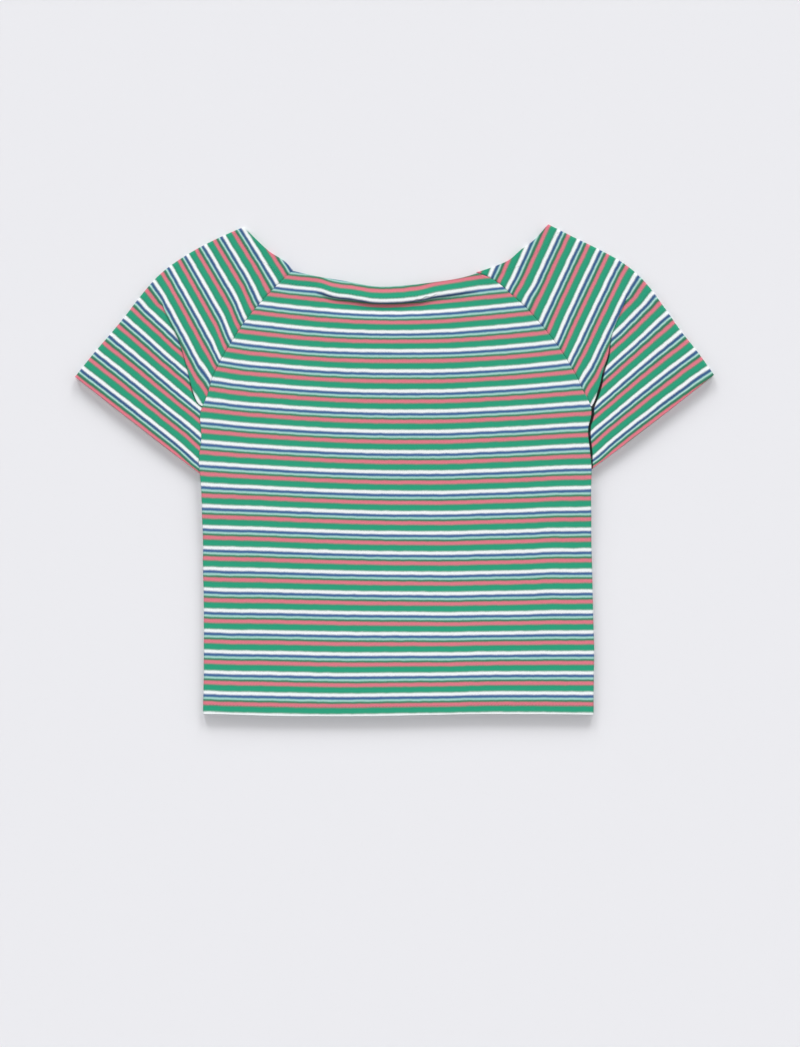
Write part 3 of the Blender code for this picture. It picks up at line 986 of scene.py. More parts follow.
@dataclass
class ClothSheet:
    """A grid of mid-wall points that becomes a closed shell of cloth.

    extra is the cloth of a turned edge, which lies on the inner side. outward
    is 1 where the rows' right-hand normal is the outer side. tuck places the
    shade painted into the mouths of tight tucks.
    """

    points: Array
    extra: Array
    cloth_map: Array
    outward: int
    tuck: Array

    def outer_line(self, index: int, along_rows: bool, proud: float) -> Array:
        """Points of one row or column of the grid, a little proud of the outer side."""
        outer = self.points + self.normals() * (CLOTH / 2 + proud)
        return outer[index] if along_rows else outer[:, index]

    def normals(self) -> Array:
        """Unit normals of the mid-wall, on the outer side."""
        tangents = []
        for axis in (1, 0):
            steps = unit(np.diff(self.points, axis=axis))
            first = np.take(steps, [0], axis=axis)
            last = np.take(steps, [-1], axis=axis)
            tangents.append(np.concatenate([first, steps], axis) + np.concatenate([steps, last], axis))
        return unit(np.cross(tangents[0], tangents[1])) * self.outward

    def rim(self) -> list[tuple[int, int]]:
        """The border of the grid, once round."""
        rows, columns = self.extra.shape
        rim = [(0, j) for j in range(columns)]
        rim += [(i, columns - 1) for i in range(1, rows)]
        rim += [(rows - 1, j) for j in range(columns - 2, -1, -1)]
        return rim + [(i, 0) for i in range(rows - 2, 0, -1)]

    def rim_out(self, rim: list[tuple[int, int]], normals: Array) -> Array:
        """Directions in the cloth that point out over its border."""
        rows, columns = self.extra.shape
        out = []
        for i, j in rim:
            side = np.zeros(3)
            here = self.points[i, j]
            if i in (0, rows - 1):
                side += unit(here - self.points[1 if i == 0 else rows - 2, j])
            if j in (0, columns - 1):
                side += unit(here - self.points[i, 1 if j == 0 else columns - 2])
            side -= normals[i, j] * float(side @ normals[i, j])
            out.append(unit(side))
        return np.array(out)

    def faces(self, rim: list[tuple[int, int]]) -> Array:
        """Corners of the faces on both skins and round the border between them.

        Args:
            rim: the border of the grid.

        Returns:
            Four vertices in each row: outer skin first, then the inner one, then the rings.
        """
        rows, columns = self.extra.shape
        count, size = rows * columns, len(rim)
        corner = (np.arange(rows - 1)[:, None] * columns + np.arange(columns - 1)[None, :]).reshape(-1)
        quads = np.stack([corner, corner + 1, corner + columns + 1, corner + columns], axis=1)
        border = np.array([i * columns + j for i, j in rim])
        rings = [2 * count + k * size + np.arange(size) for k in range(len(RIM_ANGLES))]
        rings = [border, *rings, border + count]
        faces = [quads, quads[:, ::-1] + count]
        for upper, lower in zip(rings, rings[1:]):
            faces.append(np.stack([np.roll(upper, -1), upper, lower, np.roll(lower, -1)], axis=1))
        return np.concatenate(faces)[:, ::self.outward]

    def shell(self, name: str, material: Material, shift: Array) -> Object:
        """Close the wall round the grid and make an object of it.

        Args:
            name: the piece's name.
            material: its finish.
            shift: millimetres from plan points to the frame.

        Returns:
            The new object, at the origin.
        """
        normals, rim = self.normals(), self.rim()
        at = tuple(np.array(rim).T)
        outer = self.points + normals * (CLOTH / 2)
        inner = self.points - normals * (CLOTH / 2 + self.extra)[..., None]
        middle, half = (outer[at] + inner[at]) / 2, (outer[at] - inner[at]) / 2
        out = self.rim_out(rim, normals) * np.linalg.norm(half, axis=1, keepdims=True) * EDGE_ROUND
        rings = [middle + out * math.cos(angle) + half * math.sin(angle) for angle in RIM_ANGLES]
        verts = np.concatenate([outer.reshape(-1, 3), inner.reshape(-1, 3)] + rings)
        mesh = bpy.data.meshes.new(name)
        mesh.from_pydata(((verts + shift) * MM).tolist(), [], self.faces(rim).tolist())
        corners = np.empty(len(mesh.loops), dtype=np.int32)
        mesh.loops.foreach_get("vertex_index", corners)
        # The cloth map for the stripes, and the map that places painted shade in tucks' mouths
        for label, given in ((CLOTH_MAP, self.cloth_map), (PAINTED_SHADE_MAP, self.tuck)):
            both = given.reshape(-1, 2)
            mapped = np.concatenate([both, both] + [given[at]] * len(rings))
            layer = mesh.uv_layers.new(name=label)
            layer.uv.foreach_set("vector", mapped[corners].astype(np.float32).reshape(-1))
        mesh.shade_smooth()
        mesh.materials.append(material)
        mesh.validate()
        return add_object(name, mesh)


# ---- Body panels ----


class SideSection(NamedTuple):
    """The body's side edges at one height below the armpits.

    turn is how far an edge curls round, in degrees, radius how tightly, and
    ply the cloth turned under past the curl, 0 where it runs to the seam.
    """

    height: float
    right: float
    left: float
    turn: float = 90.0
    radius: float = 1.3
    ply: float = 0.0


SIDE_SECTIONS = table_of(
    SideSection,
    (0.0, -184.7, 186.3, 90, 1.5, 0.0),
    (10.0, -184.5, 186.2, 90, 1.5, 0.0),
    (35.0, -183.9, 186.4, 90, 1.4, 0.0),
    (60.0, -183.8, 186.7),
    (88.0, -183.8, 185.9),
    (115.0, -184.0, 185.3),
    (140.0, -184.7, 184.7),
    (165.0, -184.6, 184.0),
    (190.0, -185.6, 184.0),
    (205.0, -185.9, 183.7),
    (214.0, -186.4, 183.8, 120, 1.0, 0.2),
    (222.0, -187.0, 184.0, 180, PLY / 2, 0.4),
    (231.0, -188.0, 184.2, 180, PLY / 2, 5.0),
    (243.0, -188.4, 183.3, 180, PLY / 2, 9.0),
    (253.0, -186.9, 182.2, 180, PLY / 2, 9.0),
    (262.0, -186.1, 181.1, 180, PLY / 2, 8.6),
    (268.0, -186.2, 180.9, 180, PLY / 2, 7.4),
    (273.0, -186.9, 181.3, 180, PLY / 2, 6.4),
    (278.0, -187.3, 182.9, 180, PLY / 2, 5.0),
    (283.0, -187.3, 183.9, 180, PLY / 2, 0.4),
    (286.0, -187.0, 184.1, 90, PLY / 2, 0.2),
)


class PlanPoint(NamedTuple):
    """A value read along the width of the body."""

    x: float
    y: float


NECK_EDGE = table_of(
    PlanPoint,
    (-100, 420), (-78, 415.0), (-50, 410.1), (-18, 404.8), (4, 405.7), (34, 409.0), (64, 414.2),
    (81.5, 419.5),
)
HEM_EDGE = table_of(
    PlanPoint,
    (-185, -1.2), (-171, -1.2), (-149, -1.9), (-126, -2.6), (-103, -3.05), (-80, -3.15), (-52, -3.2),
    (-12, -2.85), (15, -2.3), (45, -1.7), (66, -1.2), (100, -1.1), (132, -1.2), (165, -1.45), (185, -1.9),
)
NECK_TAKE_UP = table_of(
    PlanPoint,
    (-77, 0.0), (-72, 0.7), (-64, 3.05), (-54.6, 4.4), (-45, 4.85), (-35.6, 6.05), (-26, 7.4), (-12, 7.8),
    (2.4, 7.3), (12, 6.6), (21.4, 5.75), (34.7, 3.1), (48, 1.9), (59.4, 1.1), (77, 0.0),
)


def read(table: tuple[PlanPoint, ...], x: Array) -> Array:
    """Read a smooth table across the body."""
    return through([row.x for row in table], [row.y for row in table], x)


class FoldStep(NamedTuple):
    """A stretch of cloth in the neck's fold and its slope at its end."""

    cloth: float
    slope: float


class Gather(NamedTuple):
    """A stretch of the fold's cloth that is gathered, and its share of the gathering."""

    start: float
    end: float
    part: float


@dataclass(frozen=True)
class NeckFold:
    """The fold under the neck band, where the cloth rolls over and back.

    The fold starts along the lower edge of one white stripe and follows the
    steps, weaker where less cloth is taken up. The rest of the cloth that it
    takes up is gathered: some under the roll and some at its foot.
    """

    courses: BodyCourses
    start_count: float = 20.99
    most_take_up: float = 8.4
    roll: float = 5.4
    steps: tuple[FoldStep, ...] = (
        FoldStep(1.9, 50), FoldStep(1.2, 115), FoldStep(0.5, 115), FoldStep(1.5, 20),
        FoldStep(3.5, 0), FoldStep(3.5, 0),
    )
    gathers: tuple[Gather, ...] = (Gather(2.5, 4.7, 0.42), Gather(7.6, 11.6, 0.58))
    edge_rise: float = 0.5
    trough: float = 0.32
    trough_width: float = 11.0
    samples: int = 241

    def length(self) -> float:
        """Cloth in the whole fold."""
        return sum(step.cloth for step in self.steps)

    def stations(self) -> Array:
        """Cloth to each row of the fold, closer together where it rolls over."""
        foot = np.linspace(self.roll + 0.2, self.length(), 12)
        return np.concatenate([np.arange(0, self.roll, 0.3), foot])

    def take_up(self, x: Array) -> Array:
        """Cloth taken up in all, across the body."""
        knots = np.array([row.x for row in NECK_TAKE_UP])
        inside = (x > knots[0]) & (x < knots[-1])
        return np.where(inside, np.maximum(read(NECK_TAKE_UP, x), 0), 0.0)

    def line(self, x: Array) -> Array:
        """Plan height of the fold's start."""
        return self.courses.height(x, np.full_like(x, self.start_count)) - self.take_up(x)

    def walk(self, x: Array, cloth: float) -> tuple[Array, Array, Array]:
        """Follow the cloth into the fold.

        Args:
            x: places across.
            cloth: millimetres of cloth past the fold's start.

        Returns:
            How far the plan place moves down, how far the cloth falls, and the
            cloth passed with what is gathered, for each place.
        """
        strength = np.sqrt(self.take_up(x) / self.most_take_up)
        knots = np.concatenate([[0.0], np.cumsum([step.cloth for step in self.steps])])
        slopes = np.radians([0.0] + [step.slope for step in self.steps])
        fine = np.linspace(0.0, self.length(), self.samples)
        slope = np.interp(fine, knots, slopes)[:, None] * strength.reshape(1, -1)
        step = fine[1] - fine[0]

        def summed(rate: Array) -> Array:
            total = np.cumsum((rate[1:] + rate[:-1]) / 2, axis=0)
            return np.concatenate([np.zeros((1, rate.shape[1])), total]) * step

        over, fall = summed(np.cos(slope)), summed(np.sin(slope))
        index = min(int(round(cloth / step)), len(fine) - 1)
        gathered = self.take_up(x) - (self.length() - over[-1].reshape(x.shape))
        passed = np.full_like(x, cloth)
        for bunch in self.gathers:
            share = ease((cloth - bunch.start) / (bunch.end - bunch.start))
            passed = passed + gathered * bunch.part * share
        return over[index].reshape(x.shape), fall[index].reshape(x.shape), passed

    def drop(self, x: Array) -> Array:
        """How far the cloth falls through the whole fold."""
        return self.walk(x, self.length())[1]

    def hollow(self, x: Array, below: Array) -> Array:
        """How deep the cloth sinks below the fold's foot, at distances from it."""
        return -self.trough * self.drop(x) * ease(1 - below / self.trough_width)


class Face(Enum):
    """Which layer of the laid top a panel is."""

    FRONT = -1
    BACK = 1


@dataclass
class BodyPanel:
    """A body panel from hem to neck, between the raglan seams."""

    node: str
    face: Face
    courses: BodyCourses
    stacks: tuple[PlyStack, PlyStack]
    neck_drop: float = 0.0
    creases: tuple[SoftCrease, ...] = ()
    row_step: float = 3.5
    middle_columns: int = 150
    edge_columns: int = 12
    curl_columns: int = 8
    seam_margin: float = 3.0
    least_tail: float = 0.06
    curl_turn_in: float = 0.85
    side_top: float = 200.0
    lower_top: float = 286.0
    hem_reach: float = 70.0
    upper_length: float = 130.0
    neck_strip: float = 14.0
    seam_samples: int = 600
    hem_row: int = 8
    neck_row: int = -10
    thread_proud: float = -0.02
    floor_proud: float = -0.14
    flat_size: Point = (0.373, 0.422)
    flat_area: float = 0.146

    def level(self, points: Array) -> Array:
        """Height of the mid-wall at plan points."""
        if self.face is Face.BACK:
            return BACK_LEVEL + np.maximum(crease_height(self.creases, points), 0)
        lift = np.maximum(self.stacks[0].lift(points), self.stacks[1].lift(points))
        return FRONT_LEVEL + FRONT_TOP_RISE * lift + crease_height(self.creases, points) * (1 - lift)

    def inner_columns(self, left: float, right: float) -> Array:
        """Places across between two roots, closer together near them."""
        near = np.array([0.0, 1.2, 2.6, 4.6, 7.4])
        middle = np.linspace(left + near[-1], right - near[-1], self.middle_columns)[1:-1]
        return np.concatenate([left + near, middle, right - near[::-1]])

    def curled_edge(self, height: float, side: int) -> tuple[Array, Array, Array, float]:
        """Shape of a side edge below the armpits.

        Args:
            height: plan height of the section.
            side: -1 at the wearer's right and 1 at the left.

        Returns:
            How far over, how far down and the cloth passed from the root, for
            each column, and the root's place across.
        """
        # One tuple for each column of the table
        heights, rights, lefts, turns, radii, plies = zip(*SIDE_SECTIONS)
        edge = float(through(heights, lefts if side > 0 else rights, np.array(height)))
        turn, radius, ply = (
            float(np.interp(height, heights, column)) for column in (turns, radii, plies))
        turn = math.radians(turn)
        angles = turn * np.arange(1, self.curl_columns + 1) / self.curl_columns
        over, down = radius * np.sin(angles), radius * (1 - np.cos(angles))
        level = FRONT_LEVEL if self.face is Face.FRONT else BACK_LEVEL
        to_seam = abs(level - SEAM_HEIGHT) - SEAM_GAP / 2 - down[-1]
        tail = max((ply if ply > 0.01 else to_seam) - RAW_EDGE, self.least_tail)
        count = self.edge_columns - self.curl_columns
        past = tail * np.arange(1, count + 1) / count
        over = np.concatenate([over, over[-1] + past * math.cos(turn)])
        down = np.concatenate([down, down[-1] + past * math.sin(turn)])
        passed = np.concatenate([radius * angles, radius * turn + past])
        return over, down, passed, edge - side * bend_reach(turn, radius)

    def lower_rows(self) -> list[dict[str, Array]]:
        """Rows from the hem to just below the armpits."""
        band = [TURNED_EDGE, TURNED_EDGE + 0.2, TURNED_EDGE + 0.6, 2.2, 3.6, 5.4, 7.2, 8.2,
                HEM_BAND, HEM_BAND + BAND_STEP, 10.4, 12.0]
        steps = self.row_count(self.side_top - band[-1])
        heights = band + list(np.linspace(band[-1], self.side_top, steps + 1)[1:])
        steps = self.row_count((self.lower_top - self.side_top) * 1.4)
        heights += list(np.linspace(self.side_top, self.lower_top, steps + 1)[1:])
        rows = []
        for height in heights:
            left_over, left_down, left_passed, left_root = self.curled_edge(height, -1)
            right_over, right_down, right_passed, right_root = self.curled_edge(height, 1)
            inner = self.inner_columns(left_root, right_root)
            x = np.concatenate([(left_root - left_over)[::-1], inner, right_root + right_over])
            spread = np.concatenate([(left_root - left_passed)[::-1], inner, right_root + right_passed])
            down = np.concatenate([left_down[::-1], 0 * inner, right_down])
            y = height + read(HEM_EDGE, x) * (1 - ease(height / self.hem_reach))
            extra = np.where(down > 0, self.curl_turn_in, 1.0) * (height <= HEM_BAND)
            rows.append({"x": x, "y": y, "spread": spread, "cloth_y": y, "down": down,
                         "raise": 0 * x, "extra": extra, "seam": np.full_like(x, NO_SEAM)})
        return rows

    def row_count(self, length: float) -> int:
        """How many rows a stretch of cloth gets."""
        return max(int(round(length / self.row_step)), 2)

    def upper_row(self, line: Line, bounds: tuple[Array, Array]) -> tuple[Array, Array, Array]:
        """One row from raglan seam to raglan seam.

        Args:
            line: plan height of the row by place across.
            bounds: fine points down the right and the left raglan seam.

        Returns:
            Places across, plan heights, and distances from the nearer seam.
        """
        ends = []
        for seam in bounds:
            gap, places = seam[:, 1] - line(seam[:, 0]), np.arange(len(seam))
            place = float(np.interp(0.0, gap[::-1], places[::-1]))
            ends.append(np.array([np.interp(place, places, seam[:, k]) for k in (0, 1)]))
        margin = np.arange(self.edge_columns) * self.seam_margin / self.edge_columns
        left_root, right_root = ends[0][0] + self.seam_margin, ends[1][0] - self.seam_margin
        x = np.concatenate([ends[0][0] + margin, self.inner_columns(left_root, right_root),
                            ends[1][0] - margin[::-1]])
        miss = [ends[k][1] - float(line(np.array([ends[k][0]]))[0]) for k in (0, 1)]
        share = (x - x[0]) / (x[-1] - x[0])
        y = line(x) + miss[0] * (1 - share) + miss[1] * share
        return x, y, np.minimum(x - x[0], x[-1] - x)

    def upper_rows(self) -> list[dict[str, Array]]:
        """Rows from the armpits to the neck, with the fold on the front."""
        fold = NeckFold(self.courses)
        folded = 1.0 if self.face is Face.FRONT else 0.0
        offset = -(SEAM_GAP / 2 + RAW_EDGE) * SEAM_SETTLE
        shares = np.linspace(0, 1, self.seam_samples)
        bounds = tuple(stack.cut.seam(shares, offset) for stack in self.stacks)

        def neck(x: Array) -> Array:
            return read(NECK_EDGE, x) - self.neck_drop - TURNED_EDGE

        def walked(x: Array, cloth: float) -> tuple[Array, Array, Array]:
            over, fall, passed = fold.walk(x, cloth)
            flat = cloth * (1 - folded)
            return over * folded + flat, fall * folded, passed * folded + flat

        stations = fold.stations() if folded else np.linspace(0, fold.length(), 5)
        armpit = max(stack.cut.armpit[1] for stack in self.stacks)
        rows = []

        def add(line: Line, cloth: Line, lifted: Line, extra: float = 0.0) -> None:
            x, y, seam = self.upper_row(line, bounds)
            rows.append({"x": x, "y": y, "spread": x, "cloth_y": y + cloth(x), "down": 0 * x,
                         "raise": lifted(x), "extra": np.full_like(x, extra), "seam": seam})

        def below_fold(x: Array) -> Array:
            return fold.line(x) - walked(x, stations[-1])[0] - armpit

        for share in np.linspace(0, 1, self.row_count(self.upper_length) + 1)[:-1]:
            add(lambda x: armpit + below_fold(x) * share, lambda x: 0 * x,
                lambda x: fold.hollow(x, below_fold(x) * (1 - share)) * folded)
        for cloth in stations[::-1]:
            add(lambda x: fold.line(x) - walked(x, cloth)[0],
                lambda x: fold.take_up(x) * folded + walked(x, cloth)[0] - walked(x, cloth)[2],
                lambda x: (fold.drop(x) * folded - walked(x, cloth)[1]) * (1 + fold.trough)
                + fold.hollow(x, 0 * x) * folded)
        for place in (1.2, 2.4, 2.8, 4.2, 5.8, 7.6, 9.4, 11.2, 12.6, 13.4, 13.8, self.neck_strip):
            share = place / self.neck_strip
            rise = fold.edge_rise + (1 - fold.edge_rise) * float(ease(1 - share))
            add(lambda x: fold.line(x) + (neck(x) - fold.line(x)) * share,
                lambda x: fold.take_up(x) * folded, lambda x: fold.drop(x) * folded * rise,
                float(place > self.neck_strip - NECK_BAND + TURNED_EDGE + BAND_STEP / 2))
        return rows

    def sheet(self) -> ClothSheet:
        """Lay out the whole panel."""
        rows = self.lower_rows()
        first_upper = len(rows)
        rows += self.upper_rows()
        columns = {key: np.array([row[key] for row in rows]) for key in rows[0]}
        plan = np.stack([columns["x"], columns["y"]], axis=-1)
        height = self.level(plan)
        edge = self.edge_columns
        height[:first_upper, :edge] = height[:first_upper, edge:edge + 1]
        height[:first_upper, -edge:] = height[:first_upper, -edge - 1:-edge]
        height += columns["raise"] + self.face.value * columns["down"]
        dip = SEAM_DIP * (1 - ease(columns["seam"] / SEAM_DIP_WIDTH))
        height += dip * self.face.value
        count = self.courses.count(columns["spread"], columns["cloth_y"])
        cloth_map = np.stack([columns["spread"], count], axis=-1)
        points = np.concatenate([plan, height[..., None]], axis=-1)
        extra = columns["extra"] * CLOTH
        # Painted shadow under the neck's roll, on the front panel only
        tuck = tuck_map(NECK_ROLL_SHADOW, 0, plan) if self.face is Face.FRONT else no_painted_shade(height.shape)
        return ClothSheet(points, extra, cloth_map, -self.face.value, tuck)

    def seams(self, sheet: ClothSheet) -> list[Array]:
        """Paths where the hem and the neck edge of the laid-out panel are stitched down."""
        edge = self.edge_columns
        proud = self.thread_proud if self.face is Face.FRONT else self.floor_proud
        hem = sheet.outer_line(self.hem_row, True, proud)[edge:-edge]
        neck = sheet.outer_line(self.neck_row, True, proud)[3:-3]
        return [hem, neck]


# ---- Sleeves ----


@dataclass
class SleeveOutline:
    """The mid-wall lines round one layer of a folded sleeve.

    They lie inside the seen outline by the fold's round and by the turned
    edges. Shares run from the neck to the cuff, or from the top fold down.
    """

    cut: SleeveCut
    cuff_tuck: float
    fold_inset: float = (FRONT_LEVEL - BACK_LEVEL) / 2 + CLOTH / 2
    seam_offset: float = (SEAM_GAP / 2 + RAW_EDGE) * SEAM_SETTLE
    corner_reach: float = 22.0
    turned_reach: float = 30.0
    # How much of the seam is drawn, and how many times faster the neck's turned edge fades
    seam_end: float = 1 - 0.015
    neck_fade: float = 6.0

    def __post_init__(self) -> None:
        """Set the lines, and the ways across them at both ends."""
        cut = self.cut
        self.contour, neck_line = SmoothLine(cut.contour), SmoothLine(cut.neck)
        tip, foot = np.array(cut.contour[-1], float), np.array(cut.cuff_foot, float)
        neck_way, cuff_way = neck_line.along(np.array(0.0)), unit(foot - tip)
        first, last = self.contour.along(np.array(0.0)), self.contour.along(np.array(1.0))
        self.slid_neck = neck_way / abs(float(np.cross(neck_way, first)))
        self.slid_cuff = cuff_way / abs(float(np.cross(cuff_way, last)))
        self.neck_in = -cut.mirror * left_of(neck_way) * TURNED_EDGE
        self.cuff_in = -cut.mirror * left_of(cuff_way) * TURNED_EDGE
        self.corner, self.tip = self.inner(np.array(0.0)), self.inner(np.array(1.0))
        self.seam_top = cut.seam(np.array(0.0), self.seam_offset) + self.neck_in
        self.tucked = foot + cuff_way * self.cuff_tuck + self.cuff_in
        self.neck = pinned(lambda share: neck_line.at(share) + self.neck_in, self.corner, self.seam_top)

    def inward(self, share: Array) -> Array:
        """Ways from the contour into the cloth, which slide along both open ends."""
        normal = -left_of(self.contour.along(share)) * self.cut.mirror
        run = np.asarray(share) * self.contour.length
        way = mix(self.slid_neck + 0 * normal, normal, ease(run / self.corner_reach))
        rest = (self.contour.length - run) / self.corner_reach
        return mix(way, self.slid_cuff + 0 * normal, 1 - ease(rest))

    def inner(self, share: Array) -> Array:
        """Points of the contour, moved into the cloth."""
        run = np.asarray(share) * self.contour.length
        rest = self.contour.length - run
        start = mix(self.neck_in, 0 * self.neck_in, ease(run / self.turned_reach))
        end = mix(self.cuff_in, 0 * self.cuff_in, ease(rest / self.turned_reach))
        return self.contour.at(share) + self.inward(share) * self.fold_inset + (start + end)

    def share_near(self, point: Array, apex_share: float) -> float:
        """The share at which the top fold passes a point near the apex."""
        return self.contour.share_near(point - self.inward(np.array(apex_share)) * self.fold_inset)

    def cuff(self, down: Array) -> Array:
        """Points of the cuff."""
        return bowed(self.tip, self.tucked, self.cut.mirror * self.cut.cuff_bow, down)

    def seam(self, share: Array) -> Array:
        """Points of the raglan seam."""
        line = self.cut.seam(np.asarray(share) * self.seam_end, self.seam_offset)
        return line + mix(self.neck_in, 0 * self.neck_in, ease(np.asarray(share) * self.neck_fade))


# Millimetres to the columns beside the neck edge, and to those beside the cuff
NEAR_NECK = np.array([0.0, 0.2, 0.6, 1.8, 3.4, 5.4, 7.6, 9.8, NECK_BAND - TURNED_EDGE,
                      NECK_BAND - TURNED_EDGE + BAND_STEP, 14.0])
NEAR_CUFF = np.array([0.0, 0.2, 0.6, 1.8, 3.2, 4.8, 6.4, CUFF_BAND - TURNED_EDGE,
                      CUFF_BAND - TURNED_EDGE + BAND_STEP, 9.6, 11.5])[::-1]


@dataclass
class RaglanSleeve:
    """A raglan sleeve in one piece, folded over along its top line."""

    cut: SleeveCut
    courses: BodyCourses
    swing_fade: float = 0.25
    cuff_tuck: float = 14.0
    rows: int = 48
    shoulder_columns: int = 50
    arm_columns: int = 40
    fold_steps: int = 8
    # The last columns of the turned edges, where they are stitched down
    neck_column: int = 8
    cuff_column: int = -8
    thread_proud: float = -0.02
    floor_proud: float = -0.14
    match_from: float = 0.06
    match_rise: float = 0.3
    match_fade: float = 26.0
    most_match: float = 0.12
    apex_blend: tuple[float, float, float] = (22.0, 46.0, 27.0)
    flat_size: Point = (0.31, 0.27)
    flat_area: float = 0.0505

    @property
    def node(self) -> str:
        """The solid's node name."""
        return self.cut.node

    def down_shares(self) -> Array:
        """Rows from the top fold to the seam, closer together at both ends."""
        top = np.array([0.0, 0.008, 0.02, 0.036])
        foot = 1 - np.array([0.03, 0.021, 0.014, 0.009, 0.005, 0.002, 0.0])
        return np.concatenate([top, np.linspace(top[-1], foot[0], self.rows)[1:-1], foot])

    def front_plan(self) -> dict[str, Array]:
        """Plan the front layer, from neck to cuff in each row.

        Returns:
            Arrays by name: plan points, shares of the pleat's drop and of its
            cloth, extra cloth, the cloth map, distance from the raglan seam,
            and the ways out over the top fold.
        """
        cut, pleat = self.cut, Pleat(self.cut.pleat_angle)
        outline = SleeveOutline(cut, self.cuff_tuck)
        apex_share = np.array(outline.contour.share_near(np.array(cut.contour[cut.apex])))
        apex, armpit = outline.inner(apex_share), np.array(cut.armpit, float)
        outward = left_of(unit(armpit - apex)) * cut.mirror
        whole = apart(apex, armpit)
        crease_end = outline.seam(np.array(1.0)) + outward * pleat.reach(whole)
        crease = SmoothLine(np.vstack([apex, cut.crease, crease_end]))
        downs = self.down_shares()
        profiles = [pleat.stations(float(down) * whole) for down in downs]
        reach = np.array([pleat.reach(float(down) * whole) for down in downs])
        totals = np.array([profile[0][-1] for profile in profiles])
        ways = unit(mix(outline.contour.along(apex_share), outward, ease(downs / self.swing_fade)))
        starts = crease.at(downs) - ways * reach[:, None]
        feet = starts + ways * totals[:, None]
        start_share = outline.share_near(starts[0], apex_share)
        foot_share = outline.share_near(feet[0], apex_share)

        def crease_start(down: Array) -> Array:
            return through(downs, starts, down)

        def crease_foot(down: Array) -> Array:
            return through(downs, feet, down)

        def armhole(share: Array) -> Array:
            return mix(feet[-1], outline.tucked, share)

        seam = pinned(outline.seam, outline.seam_top, starts[-1])
        shoulder_line = pinned(lambda share: outline.inner(share * start_share),
                               outline.corner, starts[0])
        arm_line = pinned(lambda share: outline.inner(foot_share + (1 - foot_share) * share),
                          feet[0], outline.tip)
        rows = []
        for index, down in enumerate(downs):
            row = np.array(down)
            length = apart(outline.neck(row), crease_start(row))
            even = np.linspace(NEAR_NECK[-1] / length, 1, self.shoulder_columns)[1:]
            across = np.concatenate([NEAR_NECK / length, even])
            shoulder = patch(shoulder_line, seam, outline.neck, crease_start, across,
                             np.full_like(across, down))
            over, drop, passed = profiles[index]
            hidden = starts[index] + ways[index] * over[:, None]
            length = apart(crease_foot(row), outline.cuff(row))
            even = np.linspace(0, 1 - NEAR_CUFF[0] / length, self.arm_columns)[1:-1]
            beyond = np.concatenate([even, 1 - NEAR_CUFF / length])
            lower = patch(arm_line, armhole, crease_foot, outline.cuff, beyond,
                          np.full_like(beyond, down))
            plan = np.concatenate([shoulder, hidden, lower])
            extra = np.zeros(len(plan))
            extra[:self.neck_column + 1], extra[self.cuff_column:] = 1.0, 1.0
            away = np.linalg.norm(shoulder - seam(across), axis=1)
            past = np.concatenate([-np.linalg.norm(shoulder - starts[index], axis=1), passed,
                                   passed[-1] + np.linalg.norm(lower - feet[index], axis=1)])
            blend = self.fields_blend(past, float(passed[-1]), float(down) * whole)
            rows.append({
                "plan": plan, "extra": extra,
                "drop": np.concatenate([0 * across, drop, 1 + 0 * beyond]),
                "part": np.concatenate([0 * across, passed / passed[-1], 1 + 0 * beyond]),
                "seam": np.concatenate([away, np.full(len(plan) - len(away), NO_SEAM)]),
                "map": self.cloth_map(plan, blend, across, away, seam)})
        front = {name: np.array([row[name] for row in rows]) for name in rows[0]}
        front["out"] = -outline.inward(np.concatenate([
            np.linspace(0, start_share, len(across)), np.linspace(start_share, foot_share, len(over)),
            foot_share + (1 - foot_share) * beyond]))
        return front

    def fields_blend(self, past: Array, pleat: float, depth: float) -> Array:
        """How far the courses have turned from the shoulder's run to the arm's.

        Args:
            past: millimetres of cloth past the pleat's first bend, in one row.
            pleat: cloth in the row's pleat.
            depth: millimetres from the apex down to the row.

        Returns:
            0 to 1 for each point.
        """
        before, after, fade = self.apex_blend
        wide = 1 - float(ease(depth / fade))
        return ease((past + before * wide) / (before * wide + pleat + after * wide))

    def cloth_map(self, plan: Array, blend: Array, across: Array, away: Array, seam: Line) -> Array:
        """Map one row: millimetres along the stripe, and courses.

        Args:
            plan: plan points of the row.
            blend: 0 where the courses run as on the shoulder and 1 as on the arm.
            across: shares along the seam for the shoulder's points.
            away: distances from the seam for the shoulder's points.
            seam: the raglan seam by share.

        Returns:
            The cloth map of the row.
        """
        cut = self.cut
        edge = seam(across)
        miss = self.courses.count(edge[:, 0], edge[:, 1]) - cut.shoulder_field.count(edge)
        miss = np.clip(miss, -self.most_match, self.most_match)
        matched = miss * (1 - ease(away / self.match_fade))
        matched = matched * ease((across - self.match_from) / self.match_rise)
        matched = np.concatenate([matched, np.full(len(plan) - len(matched), matched[-1])])
        high = cut.shoulder_field.count(plan) + matched
        low = cut.lower_field.count(plan)
        count = high * (1 - blend) + low * blend
        run = cut.shoulder_field.span(plan) * (1 - blend) + cut.lower_field.span(plan) * blend
        return np.stack([run, count], axis=-1)

    def seams(self, sheet: ClothSheet) -> list[Array]:
        """Paths where the neck edge and the cuff are stitched down, clear of the top fold.

        Args:
            sheet: the laid-out sleeve.

        Returns:
            For each edge, one path on the front layer and one on the back layer.
        """
        rows = len(self.down_shares())
        paths = []
        for column in (self.neck_column, self.cuff_column):
            paths.append(sheet.outer_line(column, False, self.thread_proud)[3:rows - 2])
            paths.append(sheet.outer_line(column, False, self.floor_proud)[rows + self.fold_steps + 1:-3])
        return paths

